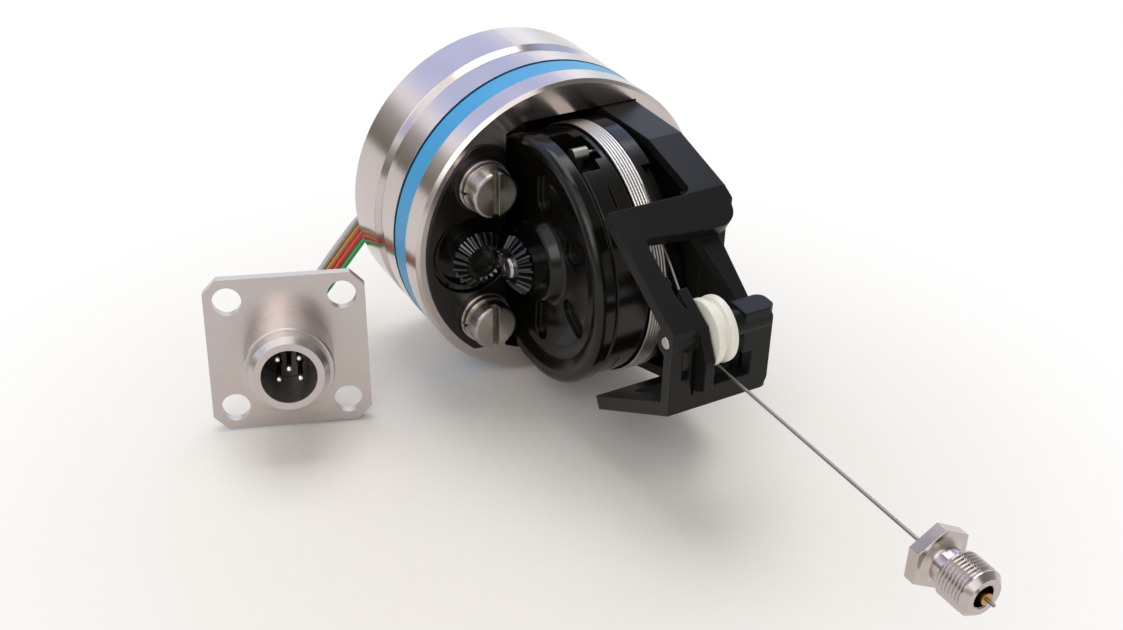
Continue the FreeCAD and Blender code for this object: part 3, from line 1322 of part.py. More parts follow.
def tube(points, diameter, name):
    """Tube along straight runs joined by tangent arcs, each as large as its runs allow."""
    edges = []
    start = points[0]
    radii = []
    for before, corner, after in zip(points, points[1:], points[2:]):
        u = (corner - before).normalize()
        w = (after - corner).normalize()
        half_turn = u.getAngle(w) / 2
        reach = 0.45 * min((corner - before).Length, (after - corner).Length)
        radii.append(reach / math.tan(half_turn))
        enter = corner - u * reach
        leave = corner + w * reach
        bulge = (w - u).normalize()
        radius = radii[-1]
        top = corner + bulge * (radius / math.cos(half_turn) - radius)
        edges.append(Part.LineSegment(start, enter).toShape())
        edges.append(Part.Arc(enter, top, leave).toShape())
        start = leave
    edges.append(Part.LineSegment(start, points[-1]).toShape())
    path = Part.Wire(edges)
    section = Part.Wire(Part.makeCircle(diameter / 2, points[0], points[1] - points[0]))
    solid = path.makePipeShell([section], True, False)
    share = solid.Volume / (path.Length * math.pi * diameter ** 2 / 4)
    turns = " ".join("%.1f" % r for r in radii)
    print("%s: length %.1f mm, radii %s mm, volume share %.4f" % (name, path.Length, turns, share))
    return solid


NODES = {
    "housing_body": housing_body,
    "seal_ring": seal_ring,
    "seal_energiser": seal_energiser,
    "rear_cover": rear_cover,
    "cover_screws": cover_screws,
    "lead_grommet": lead_grommet,
    "circuit_board": circuit_board,
    "sensor_board": sensor_board,
    "sensor_chip": sensor_chip,
    "gear_carrier": gear_carrier,
    "fixing_screws": fixing_screws,
    "lock_washers": lock_washers,
    "flat_washers": flat_washers,
    "sensor_gear": sensor_gear,
    "sensor_shaft": sensor_shaft,
    "sensor_magnet": sensor_magnet,
    "sensor_bush": sensor_bush,
    "drum": drum,
    "end_disc": end_disc,
    "drum_gear": drum_gear,
    "drum_shaft": drum_shaft,
    "shaft_clip": shaft_clip,
    "spring_cover": spring_cover,
    "power_spring": power_spring,
    "spring_arbor": spring_arbor,
    "shaft_bushes": shaft_bushes,
    "wire_winding": wire_winding,
    "wire_anchor": wire_anchor,
    "wire_lead_in": wire_lead_in,
    "wire_run": wire_run,
    "guide_frame": guide_frame,
    "roller": roller,
    "roller_pin": roller_pin,
    "pin_spacers": pin_spacers,
    "end_fitting": end_fitting,
    "end_ferrule": end_ferrule,
    "wire_tip": wire_tip,
    "connector_shell": connector_shell,
    "connector_insert": connector_insert,
    "connector_contacts": connector_contacts,
    "connector_gasket": connector_gasket,
    "connector_potting": connector_potting,
}
LEADS = ("lead_green", "lead_red", "lead_orange", "lead_white")


def main():
    """Build every node and write its file."""
    os.makedirs("parts", exist_ok=True)
    for name, make in NODES.items():
        shape = make()
        shape.exportStep("parts/%s.step" % name)
        state = (name, len(shape.Solids), shape.Volume, shape.isValid())
        print("%s: %d solids, %.1f mm3, valid %s" % state)
    for index, name in enumerate(LEADS):
        tube(lead_points(index), LEAD_D, name).exportStep("parts/%s.step" % name)


main()
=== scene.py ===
"""Draw wire encoder in its steel housing, dressed and lit on a pale floor."""

import logging
import math
from dataclasses import dataclass
from enum import Enum
from typing import Callable, Sequence

import bmesh
import bpy
from mathutils import Euler, Matrix, Vector


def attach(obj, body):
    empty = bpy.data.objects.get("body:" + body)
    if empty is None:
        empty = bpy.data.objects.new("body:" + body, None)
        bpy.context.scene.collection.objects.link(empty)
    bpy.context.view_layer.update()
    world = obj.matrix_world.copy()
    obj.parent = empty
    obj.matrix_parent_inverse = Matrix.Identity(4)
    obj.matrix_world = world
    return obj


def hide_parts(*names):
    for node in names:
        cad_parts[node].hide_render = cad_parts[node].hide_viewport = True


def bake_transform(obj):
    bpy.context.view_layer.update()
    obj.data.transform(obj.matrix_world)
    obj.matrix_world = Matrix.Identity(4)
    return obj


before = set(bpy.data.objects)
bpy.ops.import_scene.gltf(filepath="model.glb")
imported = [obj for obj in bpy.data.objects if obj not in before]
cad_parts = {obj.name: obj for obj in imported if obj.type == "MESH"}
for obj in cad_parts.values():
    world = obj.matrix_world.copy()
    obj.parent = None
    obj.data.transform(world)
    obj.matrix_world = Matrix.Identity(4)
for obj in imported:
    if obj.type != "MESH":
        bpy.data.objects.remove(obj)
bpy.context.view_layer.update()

LOG = logging.getLogger("encoder")
MM = 0.001
Point = tuple[float, float, float]
Link = bpy.types.NodeSocket | bpy.types.Node

# Places of the CAD, in millimetres and degrees
FRONT_X = 23.3
DRUM_X = 29.6
GEAR_Y = -15.0
ROLLER_X = 62.43
ROLLER_Z = 4.12
FITTING_X = 106.25
LEFT_SCREWS = (-13.57, 10.95)
RIGHT_SCREWS = (15.75, 6.4)
CONNECTOR_PLACE = (17.9, -42.4, -12.334)
CONNECTOR_TURN = (0.0, -11.6, -19.3)

# Heights of the marks and the grain, depth of the scattered light and welding distance of a skin, in millimetres
MARKS_HIGH = 0.02
GRAIN_HIGH = 0.03
SCATTER_DEEP = 0.4
WELD = 0.0004

# Strands of the wire, and the valley between two of them as a share of its radius
STRANDS = 6
VALLEY = 0.9


def linear(hex_colour: str, alpha: float = 1.0) -> tuple[float, float, float, float]:
    """Turn an sRGB hex colour into linear RGBA.

    Args:
        hex_colour: six hex digits after a hash.
        alpha: opacity.

    Returns:
        Linear red, green, blue and alpha.
    """
    digits = hex_colour.lstrip("#")
    values = [int(digits[i:i + 2], 16) / 255 for i in (0, 2, 4)]
    curve = [v / 12.92 if v <= 0.04045 else ((v + 0.055) / 1.055) ** 2.4 for v in values]
    return (curve[0], curve[1], curve[2], alpha)


def add_node(tree: bpy.types.NodeTree, kind: str, settings: dict | None = None,
             links: dict | None = None) -> bpy.types.Node:
    """Add a node with its settings and links.

    Args:
        tree: node tree that gets the node.
        kind: Blender's name for the node type.
        settings: attribute values, socket values where the key is a socket's name or number, and as stops the
            place and sRGB hex of each stop of a colour ramp.
        links: what feeds each input, by the input's name or number: a socket, or a node for its first live output.

    Returns:
        The new node.
    """
    node = tree.nodes.new(kind)
    for key, value in (settings or {}).items():
        if key == "stops":
            while len(node.color_ramp.elements) < len(value):
                node.color_ramp.elements.new(0.5)
            for element, (place, colour) in zip(node.color_ramp.elements, value):
                element.position = place
                element.color = linear(colour)
        elif isinstance(key, int) or key in node.inputs:
            node.inputs[key].default_value = value
        else:
            setattr(node, key, value)
    for key, source in (links or {}).items():
        if isinstance(source, bpy.types.Node):
            source = next(socket for socket in source.outputs if socket.enabled)
        tree.links.new(source, node.inputs[key])
    return node


def fresh_material(name: str) -> tuple[bpy.types.Material, bpy.types.NodeTree]:
    """Make an empty node material.

    Args:
        name: material's name.

    Returns:
        The material and its node tree.
    """
    material = bpy.data.materials.new(name)
    material.use_nodes = True
    material.node_tree.nodes.clear()
    return material, material.node_tree


def uneven(tree: bpy.types.NodeTree, colour: str, spread: float, pattern: Link) -> bpy.types.Node:
    """Vary a colour a little, darker and lighter.

    Args:
        tree: node tree of the material.
        colour: sRGB hex of the middle.
        spread: how far it varies, as a share.
        pattern: value from 0 to 1 that it follows.

    Returns:
        Node that gives the colour.
    """
    middle = linear(colour)[:3]
    darker = tuple(c * (1 - spread) for c in middle) + (1.0,)
    lighter = tuple(min(1.0, c * (1 + spread)) for c in middle) + (1.0,)
    return add_node(tree, "ShaderNodeMix", {"data_type": "RGBA", 6: darker, 7: lighter}, {0: pattern})


def circle(count: int) -> list[float]:
    """Angles of equal steps round a full circle."""
    return [2 * math.pi * i / count for i in range(count)]


class Spindle(Enum):
    """Line round which a piece was turned: place in millimetres, turn from +X in degrees, number of such lines."""

    HOUSING = ((0.0, 0.0, 0.0), (0.0, 0.0, 0.0), 1)
    DRUM = ((DRUM_X, 0.0, 0.0), (0.0, 0.0, 90.0), 1)
    ROLLER = ((ROLLER_X, 0.0, ROLLER_Z), (0.0, 0.0, 90.0), 1)
    SENSOR = ((0.0, GEAR_Y, 0.0), (0.0, 0.0, 0.0), 1)
    CONNECTOR = (CONNECTOR_PLACE, CONNECTOR_TURN, 1)
    SCREWS = ((0.0, 0.0, 0.0), (0.0, 0.0, 0.0), 4)


@dataclass(frozen=True)
class Patch:
    """Part of a turned piece that has another colour: painted shade in a slot or a socket, or a painted highlight on a
    tip.

    Args:
        colour: sRGB hex there.
        along: its nearest and furthest place along the spindle, in millimetres.
        out: its least and greatest distance from the spindle, in millimetres.
        across: the distance is taken across a slot and not all round.
    """

    colour: str
    along: tuple[float, float]
    out: tuple[float, float] = (0.0, 99.0)
    across: bool = False

    def lay(self, tree: bpy.types.NodeTree, colour: Link, along: Link, out: Link) -> bpy.types.Node:
        """Lay the patch over a colour.

        Args:
            tree: node tree of the material.
            colour: the metal's colour elsewhere.
            along: distance along the spindle.
            out: way out from the spindle.

        Returns:
            Node that gives the colour with the patch.
        """
        if self.across:
            away = add_node(tree, "ShaderNodeSeparateXYZ", links={"Vector": out}).outputs["Y"]
        else:
            away = add_node(tree, "ShaderNodeVectorMath", {"operation": "LENGTH"}, {0: out})
        inside = [add_node(tree, "ShaderNodeMath",
                           {"operation": "COMPARE", 1: (low + high) / 2 * MM, 2: (high - low) / 2 * MM}, {0: value})
                  for value, (low, high) in ((along, self.along), (away, self.out))]
        share = add_node(tree, "ShaderNodeMath", {"operation": "MULTIPLY"}, {0: inside[0], 1: inside[1]})
        return add_node(tree, "ShaderNodeMix", {"data_type": "RGBA", 7: linear(self.colour)}, {0: share, 6: colour})


@dataclass(frozen=True)
class TurnedMetal:
    """Metal turned on a lathe: fine marks run round the spindle, so a lamp draws out across them.

    Args:
        name: material's name.
        colour: sRGB hex of the metal.
        spindle: line of the turning.
        roughness: gloss, 0 for a mirror.
        drawn: how far the light is drawn out across the marks.
        marks_mm: spacing of the marks, about twice the lathe's real feed, which is too fine to show.
        depth: strength of the marks' bump.
        stain: share of the darker, smeared patches.
        worn: width in millimetres of the softened edges.
        patch: part with another colour.
        smear_mm: real size of the smears.
        coned: share of the spindle's own way in the way that the light is drawn, for flats and cones.
        rough_by: how far the roughness goes down and up over a smear.
    """

    name: str
    colour: str
    spindle: Spindle = Spindle.HOUSING
    roughness: float = 0.2
    drawn: float = 0.5
    marks_mm: float = 0.12
    depth: float = 0.04
    stain: float = 0.06
    worn: float = 0.08
    patch: Patch | None = None
    smear_mm: float = 7.0
    coned: float = 0.7
    rough_by: tuple[float, float] = (-0.03, 0.05)

    def from_spindle(self, tree: bpy.types.NodeTree) -> tuple[Link, Link]:
        """Find the place along the spindle and the way out from it.

        Args:
            tree: node tree of the material.

        Returns:
            Distance along the spindle, and the vector straight out from the spindle.
        """
        place = add_node(tree, "ShaderNodeTexCoord").outputs["Object"]
        centre, turn, count = self.spindle.value
        local = add_node(tree, "ShaderNodeMapping",
                         {"vector_type": "TEXTURE", "Location": tuple(c * MM for c in centre),
                          "Rotation": tuple(math.radians(a) for a in turn)}, {"Vector": place})
        parts = add_node(tree, "ShaderNodeSeparateXYZ", links={"Vector": local})
        out_y, out_z = parts.outputs["Y"], parts.outputs["Z"]
        if count > 1:
            out_y, out_z = self.from_screws(tree, out_y, out_z)
        return parts.outputs["X"], add_node(tree, "ShaderNodeCombineXYZ", links={"Y": out_y, "Z": out_z})

    @staticmethod
    def from_screws(tree: bpy.types.NodeTree, y: Link, z: Link) -> tuple[Link, Link]:
        """Measure from the nearest of the four screws, two at the left of the drum and two at its right.

        Args:
            tree: node tree of the material.
            y: place across the housing.
            z: height.

        Returns:
            Distances from the screw's centre.
        """
        right = add_node(tree, "ShaderNodeMath", {"operation": "GREATER_THAN", 1: 0.0}, {0: y})
        centre_y, centre_z = (
            add_node(tree, "ShaderNodeMapRange", {"To Min": left_mm * MM, "To Max": right_mm * MM}, {"Value": right})
            for left_mm, right_mm in zip(LEFT_SCREWS, RIGHT_SCREWS))
        side = add_node(tree, "ShaderNodeMath", {"operation": "SIGN"}, {0: z})
        centre_z = add_node(tree, "ShaderNodeMath", {"operation": "MULTIPLY"}, {0: centre_z, 1: side})
        return (add_node(tree, "ShaderNodeMath", {"operation": "SUBTRACT"}, {0: y, 1: centre_y}),
                add_node(tree, "ShaderNodeMath", {"operation": "SUBTRACT"}, {0: z, 1: centre_z}))

    def build(self) -> bpy.types.Material:
        """Make the material, with its marks in the bump and gloss and its drawn-out reflections.

        Returns:
            The material.
        """
        material, tree = fresh_material(self.name)
        along, out = self.from_spindle(tree)
        radius = add_node(tree, "ShaderNodeVectorMath", {"operation": "LENGTH"}, {0: out})
        line = add_node(tree, "ShaderNodeMath", {"operation": "ADD"}, {0: radius, 1: along})
        marks = add_node(tree, "ShaderNodeTexNoise",
                         {"noise_dimensions": "1D", "Scale": 1 / (self.marks_mm * MM), "Detail": 3.0}, {"W": line})
        place = add_node(tree, "ShaderNodeTexCoord").outputs["Object"]
        smear = add_node(tree, "ShaderNodeTexNoise", {"Scale": 1 / (self.smear_mm * MM), "Detail": 4.0},
                         {"Vector": place})
        rough = add_node(tree, "ShaderNodeMapRange",
                         {"To Min": self.roughness + self.rough_by[0],
                          "To Max": self.roughness + self.rough_by[1]}, {"Value": smear})
        colour = uneven(tree, self.colour, self.stain, smear)
        if self.patch:
            colour = self.patch.lay(tree, colour, along, out)
        way = add_node(tree, "ShaderNodeVectorMath", {"operation": "NORMALIZE"}, {0: out})
        slant = add_node(tree, "ShaderNodeVectorMath", {"operation": "ADD", 1: (self.coned, 0.0, 0.0)}, {0: way})
        turned = add_node(tree, "ShaderNodeMapping",
                          {"vector_type": "VECTOR",
                           "Rotation": tuple(math.radians(a) for a in self.spindle.value[1])}, {"Vector": slant})
        tangent = add_node(tree, "ShaderNodeVectorTransform",
                           {"vector_type": "VECTOR", "convert_from": "OBJECT", "convert_to": "WORLD"},
                           {"Vector": turned})
        edge = add_node(tree, "ShaderNodeBevel", {"samples": 4, "Radius": self.worn * MM})
        bump = add_node(tree, "ShaderNodeBump", {"Strength": self.depth, "Distance": MARKS_HIGH * MM},
                        {"Height": marks, "Normal": edge})
        shader = add_node(tree, "ShaderNodeBsdfPrincipled", {"Metallic": 1.0, "Anisotropic": self.drawn},
                          {"Base Color": colour, "Roughness": rough, "Normal": bump, "Tangent": tangent})
        add_node(tree, "ShaderNodeOutputMaterial", links={"Surface": shader})
        return material


@dataclass(frozen=True)
class Moulding:
    """Moulded or drawn surface of one colour, with fine grain, uneven gloss and softened edges.

    Args:
        name: material's name.
        colour: sRGB hex of the surface.
        roughness: gloss, 0 for a mirror.
        metallic: 1 for bare metal.
        specular: share of the usual reflection at the surface.
        grain_mm: size of the grain, real where it shows and else as fine as the view can hold.
        grain: strength of the grain's bump.
        spread: how far the roughness varies.
        tone: how far the colour varies.
        edge_mm: radius of the softened edges.
        glow: share of light scattered under the surface.
        cloud_mm: real size of the places that differ in colour and gloss.
    """

    name: str
    colour: str
    roughness: float = 0.5
    metallic: float = 0.0
    specular: float = 0.5
    grain_mm: float = 0.25
    grain: float = 0.03
    spread: float = 0.03
    tone: float = 0.06
    edge_mm: float = 0.12
    glow: float = 0.0
    cloud_mm: float = 6.0

    def build(self) -> bpy.types.Material:
        """Make the material, with its grain in the bump and its colour and gloss slightly uneven.

        Returns:
            The material.
        """
        material, tree = fresh_material(self.name)
        place = add_node(tree, "ShaderNodeTexCoord").outputs["Object"]
        fine = add_node(tree, "ShaderNodeTexNoise", {"Scale": 1 / (self.grain_mm * MM), "Detail": 2.0},
                        {"Vector": place})
        cloud = add_node(tree, "ShaderNodeTexNoise", {"Scale": 1 / (self.cloud_mm * MM), "Detail": 3.0},
                         {"Vector": place})
        rough = add_node(tree, "ShaderNodeMapRange",
                         {"To Min": max(0.02, self.roughness - self.spread),
                          "To Max": min(1.0, self.roughness + self.spread)}, {"Value": cloud})
        edge = add_node(tree, "ShaderNodeBevel", {"samples": 4, "Radius": self.edge_mm * MM})
        bump = add_node(tree, "ShaderNodeBump", {"Strength": self.grain, "Distance": GRAIN_HIGH * MM},
                        {"Height": fine, "Normal": edge})
        shader = add_node(tree, "ShaderNodeBsdfPrincipled",
                          {"Metallic": self.metallic, "Specular IOR Level": self.specular,
                           "Subsurface Weight": self.glow, "Subsurface Scale": SCATTER_DEEP * MM},
                          {"Base Color": uneven(tree, self.colour, self.tone, cloud), "Roughness": rough,
                           "Normal": bump})
        add_node(tree, "ShaderNodeOutputMaterial", links={"Surface": shader})
        return material


def dress(material: bpy.types.Material, *nodes: str) -> None:
    """Give CAD nodes a material in all their slots.

    Args:
        material: finish to show.
        nodes: names of the CAD nodes.
    """
    for name in nodes:
        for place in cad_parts[name].material_slots:
            place.material = material
        LOG.info("%s wears %s", name, material.name)


def new_piece(mesh: bpy.types.Mesh, body: str, slot: str, *replaced: str) -> bpy.types.Object:
    """Put a finished mesh in the scene as a piece of the object, with the mesh's name.

    Args:
        mesh: the piece's mesh, already in its place.
        body: CAD body that it moves with, or nothing for a piece that is left unattached.
        slot: record's material slot; not used.
        replaced: CAD nodes that it stands for.

    Returns:
        The new object.
    """
    item = bpy.data.objects.new(mesh.name, mesh)
    bpy.context.collection.objects.link(item)
    if body:
        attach(item, body)
    if replaced:
        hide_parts(*replaced)
    LOG.info("%s has %d faces", item.name, len(mesh.polygons))
    return item


def skin(name: str, rings: Sequence[Sequence[Point]], material: bpy.types.Material, sharp_deg: float = 35.0,
         closed: bool = True) -> bpy.types.Mesh:
    """Bridge rings of points into a closed skin.

    Args:
        name: mesh's name.
        rings: rings of equally many points, in millimetres.
        material: finish of the whole skin.
        sharp_deg: edges that turn by more than this stay sharp.
        closed: join the last ring to the first, or else cap both ends.

    Returns:
        The mesh, in metres, with its normals outwards.
    """
    build = bmesh.new()
    rows = [[build.verts.new(Vector(p) * MM) for p in ring] for ring in rings]
    count = len(rows[0])
    for low, high in zip(rows, rows[1:] + rows[:1] if closed else rows[1:]):
        for i in range(count):
            j = (i + 1) % count
            build.faces.new((low[i], low[j], high[j], high[i]))
    if not closed:
        build.faces.new(rows[0])
        build.faces.new(rows[-1])
    bmesh.ops.remove_doubles(build, verts=build.verts, dist=WELD * MM)
    bmesh.ops.recalc_face_normals(build, faces=build.faces)
    mesh = bpy.data.meshes.new(name)
    build.to_mesh(mesh)
    build.free()
    mesh.shade_smooth()
    mesh.set_sharp_from_angle(angle=math.radians(sharp_deg))
    mesh.materials.append(material)
    return mesh


def start_tree(name: str, inputs: dict[str, float | int]) -> tuple[bpy.types.NodeTree, bpy.types.Node]:
    """Start a Geometry Nodes tree with named sizes.

    Args:
        name: tree's name.
        inputs: sizes by name, with their defaults.

    Returns:
        The tree and its input node.
    """
    tree = bpy.data.node_groups.new(name, "GeometryNodeTree")
    tree.interface.new_socket("Geometry", in_out="INPUT", socket_type="NodeSocketGeometry")
    tree.interface.new_socket("Geometry", in_out="OUTPUT", socket_type="NodeSocketGeometry")
    for key, value in inputs.items():
        kind = "NodeSocketInt" if isinstance(value, int) else "NodeSocketFloat"
        tree.interface.new_socket(key, in_out="INPUT", socket_type=kind).default_value = value
    tree.interface.new_socket("Finish", in_out="INPUT", socket_type="NodeSocketMaterial")
    return tree, add_node(tree, "NodeGroupInput")


def end_tree(tree: bpy.types.NodeTree, source: bpy.types.Node, made: Link) -> None:
    """End a tree by realising its instances and giving them their finish.

    Args:
        tree: the Geometry Nodes tree.
        source: its input node.
        made: geometry that the tree has made.
    """
    real = add_node(tree, "GeometryNodeRealizeInstances", links={"Geometry": made})
    smooth = add_node(tree, "GeometryNodeSetShadeSmooth", links={0: real})
    finish = add_node(tree, "GeometryNodeSetMaterial", links={"Geometry": smooth, "Material": source.outputs["Finish"]})
    add_node(tree, "NodeGroupOutput", links={0: finish})


def grow(name: str, tree: bpy.types.NodeTree, sizes: dict[str, float | int], material: bpy.types.Material,
         path: Sequence[Point] = ()) -> bpy.types.Mesh:
    """Run a Geometry Nodes tree and keep its result as a plain mesh.

    Args:
        name: mesh's name.
        tree: the Geometry Nodes tree.
        sizes: values by the name of the tree's input, in millimetres or as whole numbers.
        material: finish of the result.
        path: points in millimetres of the line that the tree starts from.

    Returns:
        The plain mesh.
    """
    seed = bpy.data.meshes.new(name + "_seed")
    seed.from_pydata([Vector(p) * MM for p in path], [(i, i + 1) for i in range(len(path) - 1)], [])
    item = bpy.data.objects.new(name + "_seed", seed)
    bpy.context.collection.objects.link(item)
    modifier = item.modifiers.new("nodes", "NODES")
    modifier.node_group = tree
    for socket in tree.interface.items_tree:
        if socket.in_out == "INPUT" and socket.name in sizes:
            size = sizes[socket.name]
            modifier[socket.identifier] = size if isinstance(size, int) else size * MM
        if socket.in_out == "INPUT" and socket.name == "Finish":
            modifier[socket.identifier] = material
    graph = bpy.context.evaluated_depsgraph_get()
    mesh = bpy.data.meshes.new_from_object(item.evaluated_get(graph), depsgraph=graph)
    mesh.name = name
    bpy.data.objects.remove(item)
    return mesh


def strand(tree: bpy.types.NodeTree, source: bpy.types.Node, path: Link) -> bpy.types.Node:
    """Lay the ridges of the strands round a path, turning once in each lay.

    Args:
        tree: Geometry Nodes tree with the inputs Wire and Lay.
        source: the tree's input node.
        path: mesh of edges that the wire follows.

    Returns:
        Node that gives the wire's mesh.
    """
    curve = add_node(tree, "GeometryNodeMeshToCurve", links={"Mesh": path})
    length = add_node(tree, "GeometryNodeSplineParameter").outputs["Length"]
    share = add_node(tree, "ShaderNodeMath", {"operation": "DIVIDE"}, {0: length, 1: source.outputs["Lay"]})
    angle = add_node(tree, "ShaderNodeMath", {"operation": "MULTIPLY", 1: 2 * math.pi}, {0: share})
    twisted = add_node(tree, "GeometryNodeSetCurveTilt", links={"Curve": curve, "Tilt": angle})
    valley = add_node(tree, "ShaderNodeMath", {"operation": "MULTIPLY", 1: VALLEY}, {0: source.outputs["Wire"]})
    ridges = add_node(tree, "GeometryNodeCurveStar", {"Points": STRANDS},
                      {"Inner Radius": valley, "Outer Radius": source.outputs["Wire"]})
    return add_node(tree, "GeometryNodeCurveToMesh", {"Fill Caps": True}, {"Curve": twisted, "Profile Curve": ridges})


@dataclass
class Studio:
    """Camera at the photograph's view, pale floor and plain soft light."""

    camera_mm: Point = (194.672, -99.386, 107.437)
    right: Point = (0.48993762, 0.87143122, 0.02384878)
    down: Point = (0.46865353, -0.24022243, -0.85009238)
    forward: Point = (-0.73506803, 0.42766905, -0.52609331)
    lens_mm: float = 47.75
    floor_mm: float = -24.02
    floor_half_mm: float = 6000.0
    middle_mm: Point = (50.0, -18.0, -24.0)
    shade_from_mm: float = 25.0
    white_from_mm: float = 106.0
    lamp_aim_mm: Point = (40.0, -20.0, 0.0)
    world_light: float = 0.47
    mirrored_light: float = 1.6
    softbox_way: Point = (0.47, -0.42, 0.78)
    softbox_edge: tuple[float, float] = (0.76, 0.83)
    screen_heights: tuple[float, float] = (-0.2, 1.0)
    side_blend: float = 0.35
    front_blend: float = 0.3
    # Screens that the metal mirrors, by height: behind the object at its left and right, and in front of it
    left_screen: tuple[tuple[float, str], ...] = (
        (0.09, "#65615A"), (0.24, "#6A6A5F"), (0.325, "#8C8D87"), (0.40, "#9B9694"), (0.46, "#E0E2EA"),
        (0.50, "#FFFFFF"), (0.56, "#C0CEF6"), (0.76, "#B2C0E9"), (0.86, "#74757A"), (1.0, "#565653"))
    right_screen: tuple[tuple[float, str], ...] = (
        (0.09, "#C1CBCD"), (0.24, "#CBD4D5"), (0.325, "#E8F3FF"), (0.40, "#FFFFFF"), (0.46, "#D8E0F8"),
        (0.56, "#B2C0E9"), (0.76, "#B2C0E9"), (0.86, "#74757A"), (1.0, "#565653"))
    front_screen: tuple[tuple[float, str], ...] = (
        (0.17, "#A09C98"), (0.40, "#8E8B88"), (0.55, "#7C7A78"), (1.0, "#565653"))
    # Name, place in metres, side in metres and watts of each lamp
    lamps: tuple[tuple[str, Point, float, float], ...] = (
        ("key_lamp", (-0.30, 0.12, 0.95), 0.7, 4.9), ("fill_lamp", (0.60, -0.50, 0.60), 0.5, 1.7))

    def camera(self) -> None:
        """Place the camera."""
        data = bpy.data.cameras.new("camera")
        data.sensor_width = 36.0
        data.lens = self.lens_mm
        data.clip_start = 0.005
        item = bpy.data.objects.new("camera", data)
        bpy.context.collection.objects.link(item)
        columns = [Vector(self.right), -Vector(self.down), -Vector(self.forward)]
        matrix = Matrix([[c[i] for c in columns] for i in range(3)]).to_4x4()
        matrix.translation = Vector(self.camera_mm) * MM
        item.matrix_world = matrix
        bpy.context.scene.camera = item

    def lamp(self, name: str, place: Point, size: float, power: float) -> None:
        """Add a square soft lamp that points at the object.

        Args:
            name: lamp's name.
            place: position in metres.
            size: side of the square in metres.
            power: watts.
        """
        data = bpy.data.lights.new(name, "AREA")
        data.size = size
        data.energy = power
        item = bpy.data.objects.new(name, data)
        bpy.context.collection.objects.link(item)
        item.location = Vector(place)
        aim = Vector(self.lamp_aim_mm) * MM - item.location
        item.rotation_euler = aim.to_track_quat("-Z", "Y").to_euler()

    @staticmethod
    def seen(tree: bpy.types.NodeTree, *rays: str) -> bpy.types.Node:
        """Tell the rays that see the background itself.

        Args:
            tree: node tree of the floor or the world.
            rays: outputs of Light Path that count.

        Returns:
            Node that gives 1 for such a ray.
        """
        path = add_node(tree, "ShaderNodeLightPath")
        share = path.outputs[rays[0]]
        for ray in rays[1:]:
            share = add_node(tree, "ShaderNodeMath", {"operation": "MAXIMUM"}, {0: share, 1: path.outputs[ray]})
        return share

    def floor(self) -> None:
        """Lay a large pale floor, which keeps the shadow near the object and is plain white further out."""
        mesh = bpy.data.meshes.new("floor")
        z = self.floor_mm * MM
        half = self.floor_half_mm * MM
        mesh.from_pydata([(-half, -half, z), (half, -half, z), (half, half, z), (-half, half, z)], [],
                         [(0, 1, 2, 3)])
        item = bpy.data.objects.new("floor", mesh)
        bpy.context.collection.objects.link(item)
        # Backdrop paper, rolled out: warm white and matt, with a grain too fine to see
        material, tree = fresh_material("floor_paper")
        place = add_node(tree, "ShaderNodeTexCoord").outputs["Object"]
        grain = add_node(tree, "ShaderNodeTexNoise", {"Scale": 1 / (2 * MM)}, {"Vector": place})
        tint = add_node(tree, "ShaderNodeValToRGB", {"stops": ((0.0, "#F7F3EF"), (1.0, "#FAF6F2"))}, {"Fac": grain})
        shader = add_node(tree, "ShaderNodeBsdfPrincipled", {"Roughness": 0.85, "Specular IOR Level": 0.1},
                          {"Base Color": tint})
        away = add_node(tree, "ShaderNodeVectorMath",
                        {"operation": "DISTANCE", 1: tuple(c * MM for c in self.middle_mm)}, {0: place})
        reach = add_node(tree, "ShaderNodeMapRange",
                         {"interpolation_type": "SMOOTHSTEP", "From Min": self.shade_from_mm * MM,
                          "From Max": self.white_from_mm * MM}, {"Value": away})
        seen = self.seen(tree, "Is Camera Ray", "Is Transmission Ray", "Is Glossy Ray")
        share = add_node(tree, "ShaderNodeMath", {"operation": "MULTIPLY"}, {0: reach, 1: seen})
        white = add_node(tree, "ShaderNodeEmission", {"Color": linear("#FFFFFF"), "Strength": 1.0})
        mixed = add_node(tree, "ShaderNodeMixShader", links={0: share, 1: shader, 2: white})
        add_node(tree, "ShaderNodeOutputMaterial", links={"Surface": mixed})
        mesh.materials.append(material)

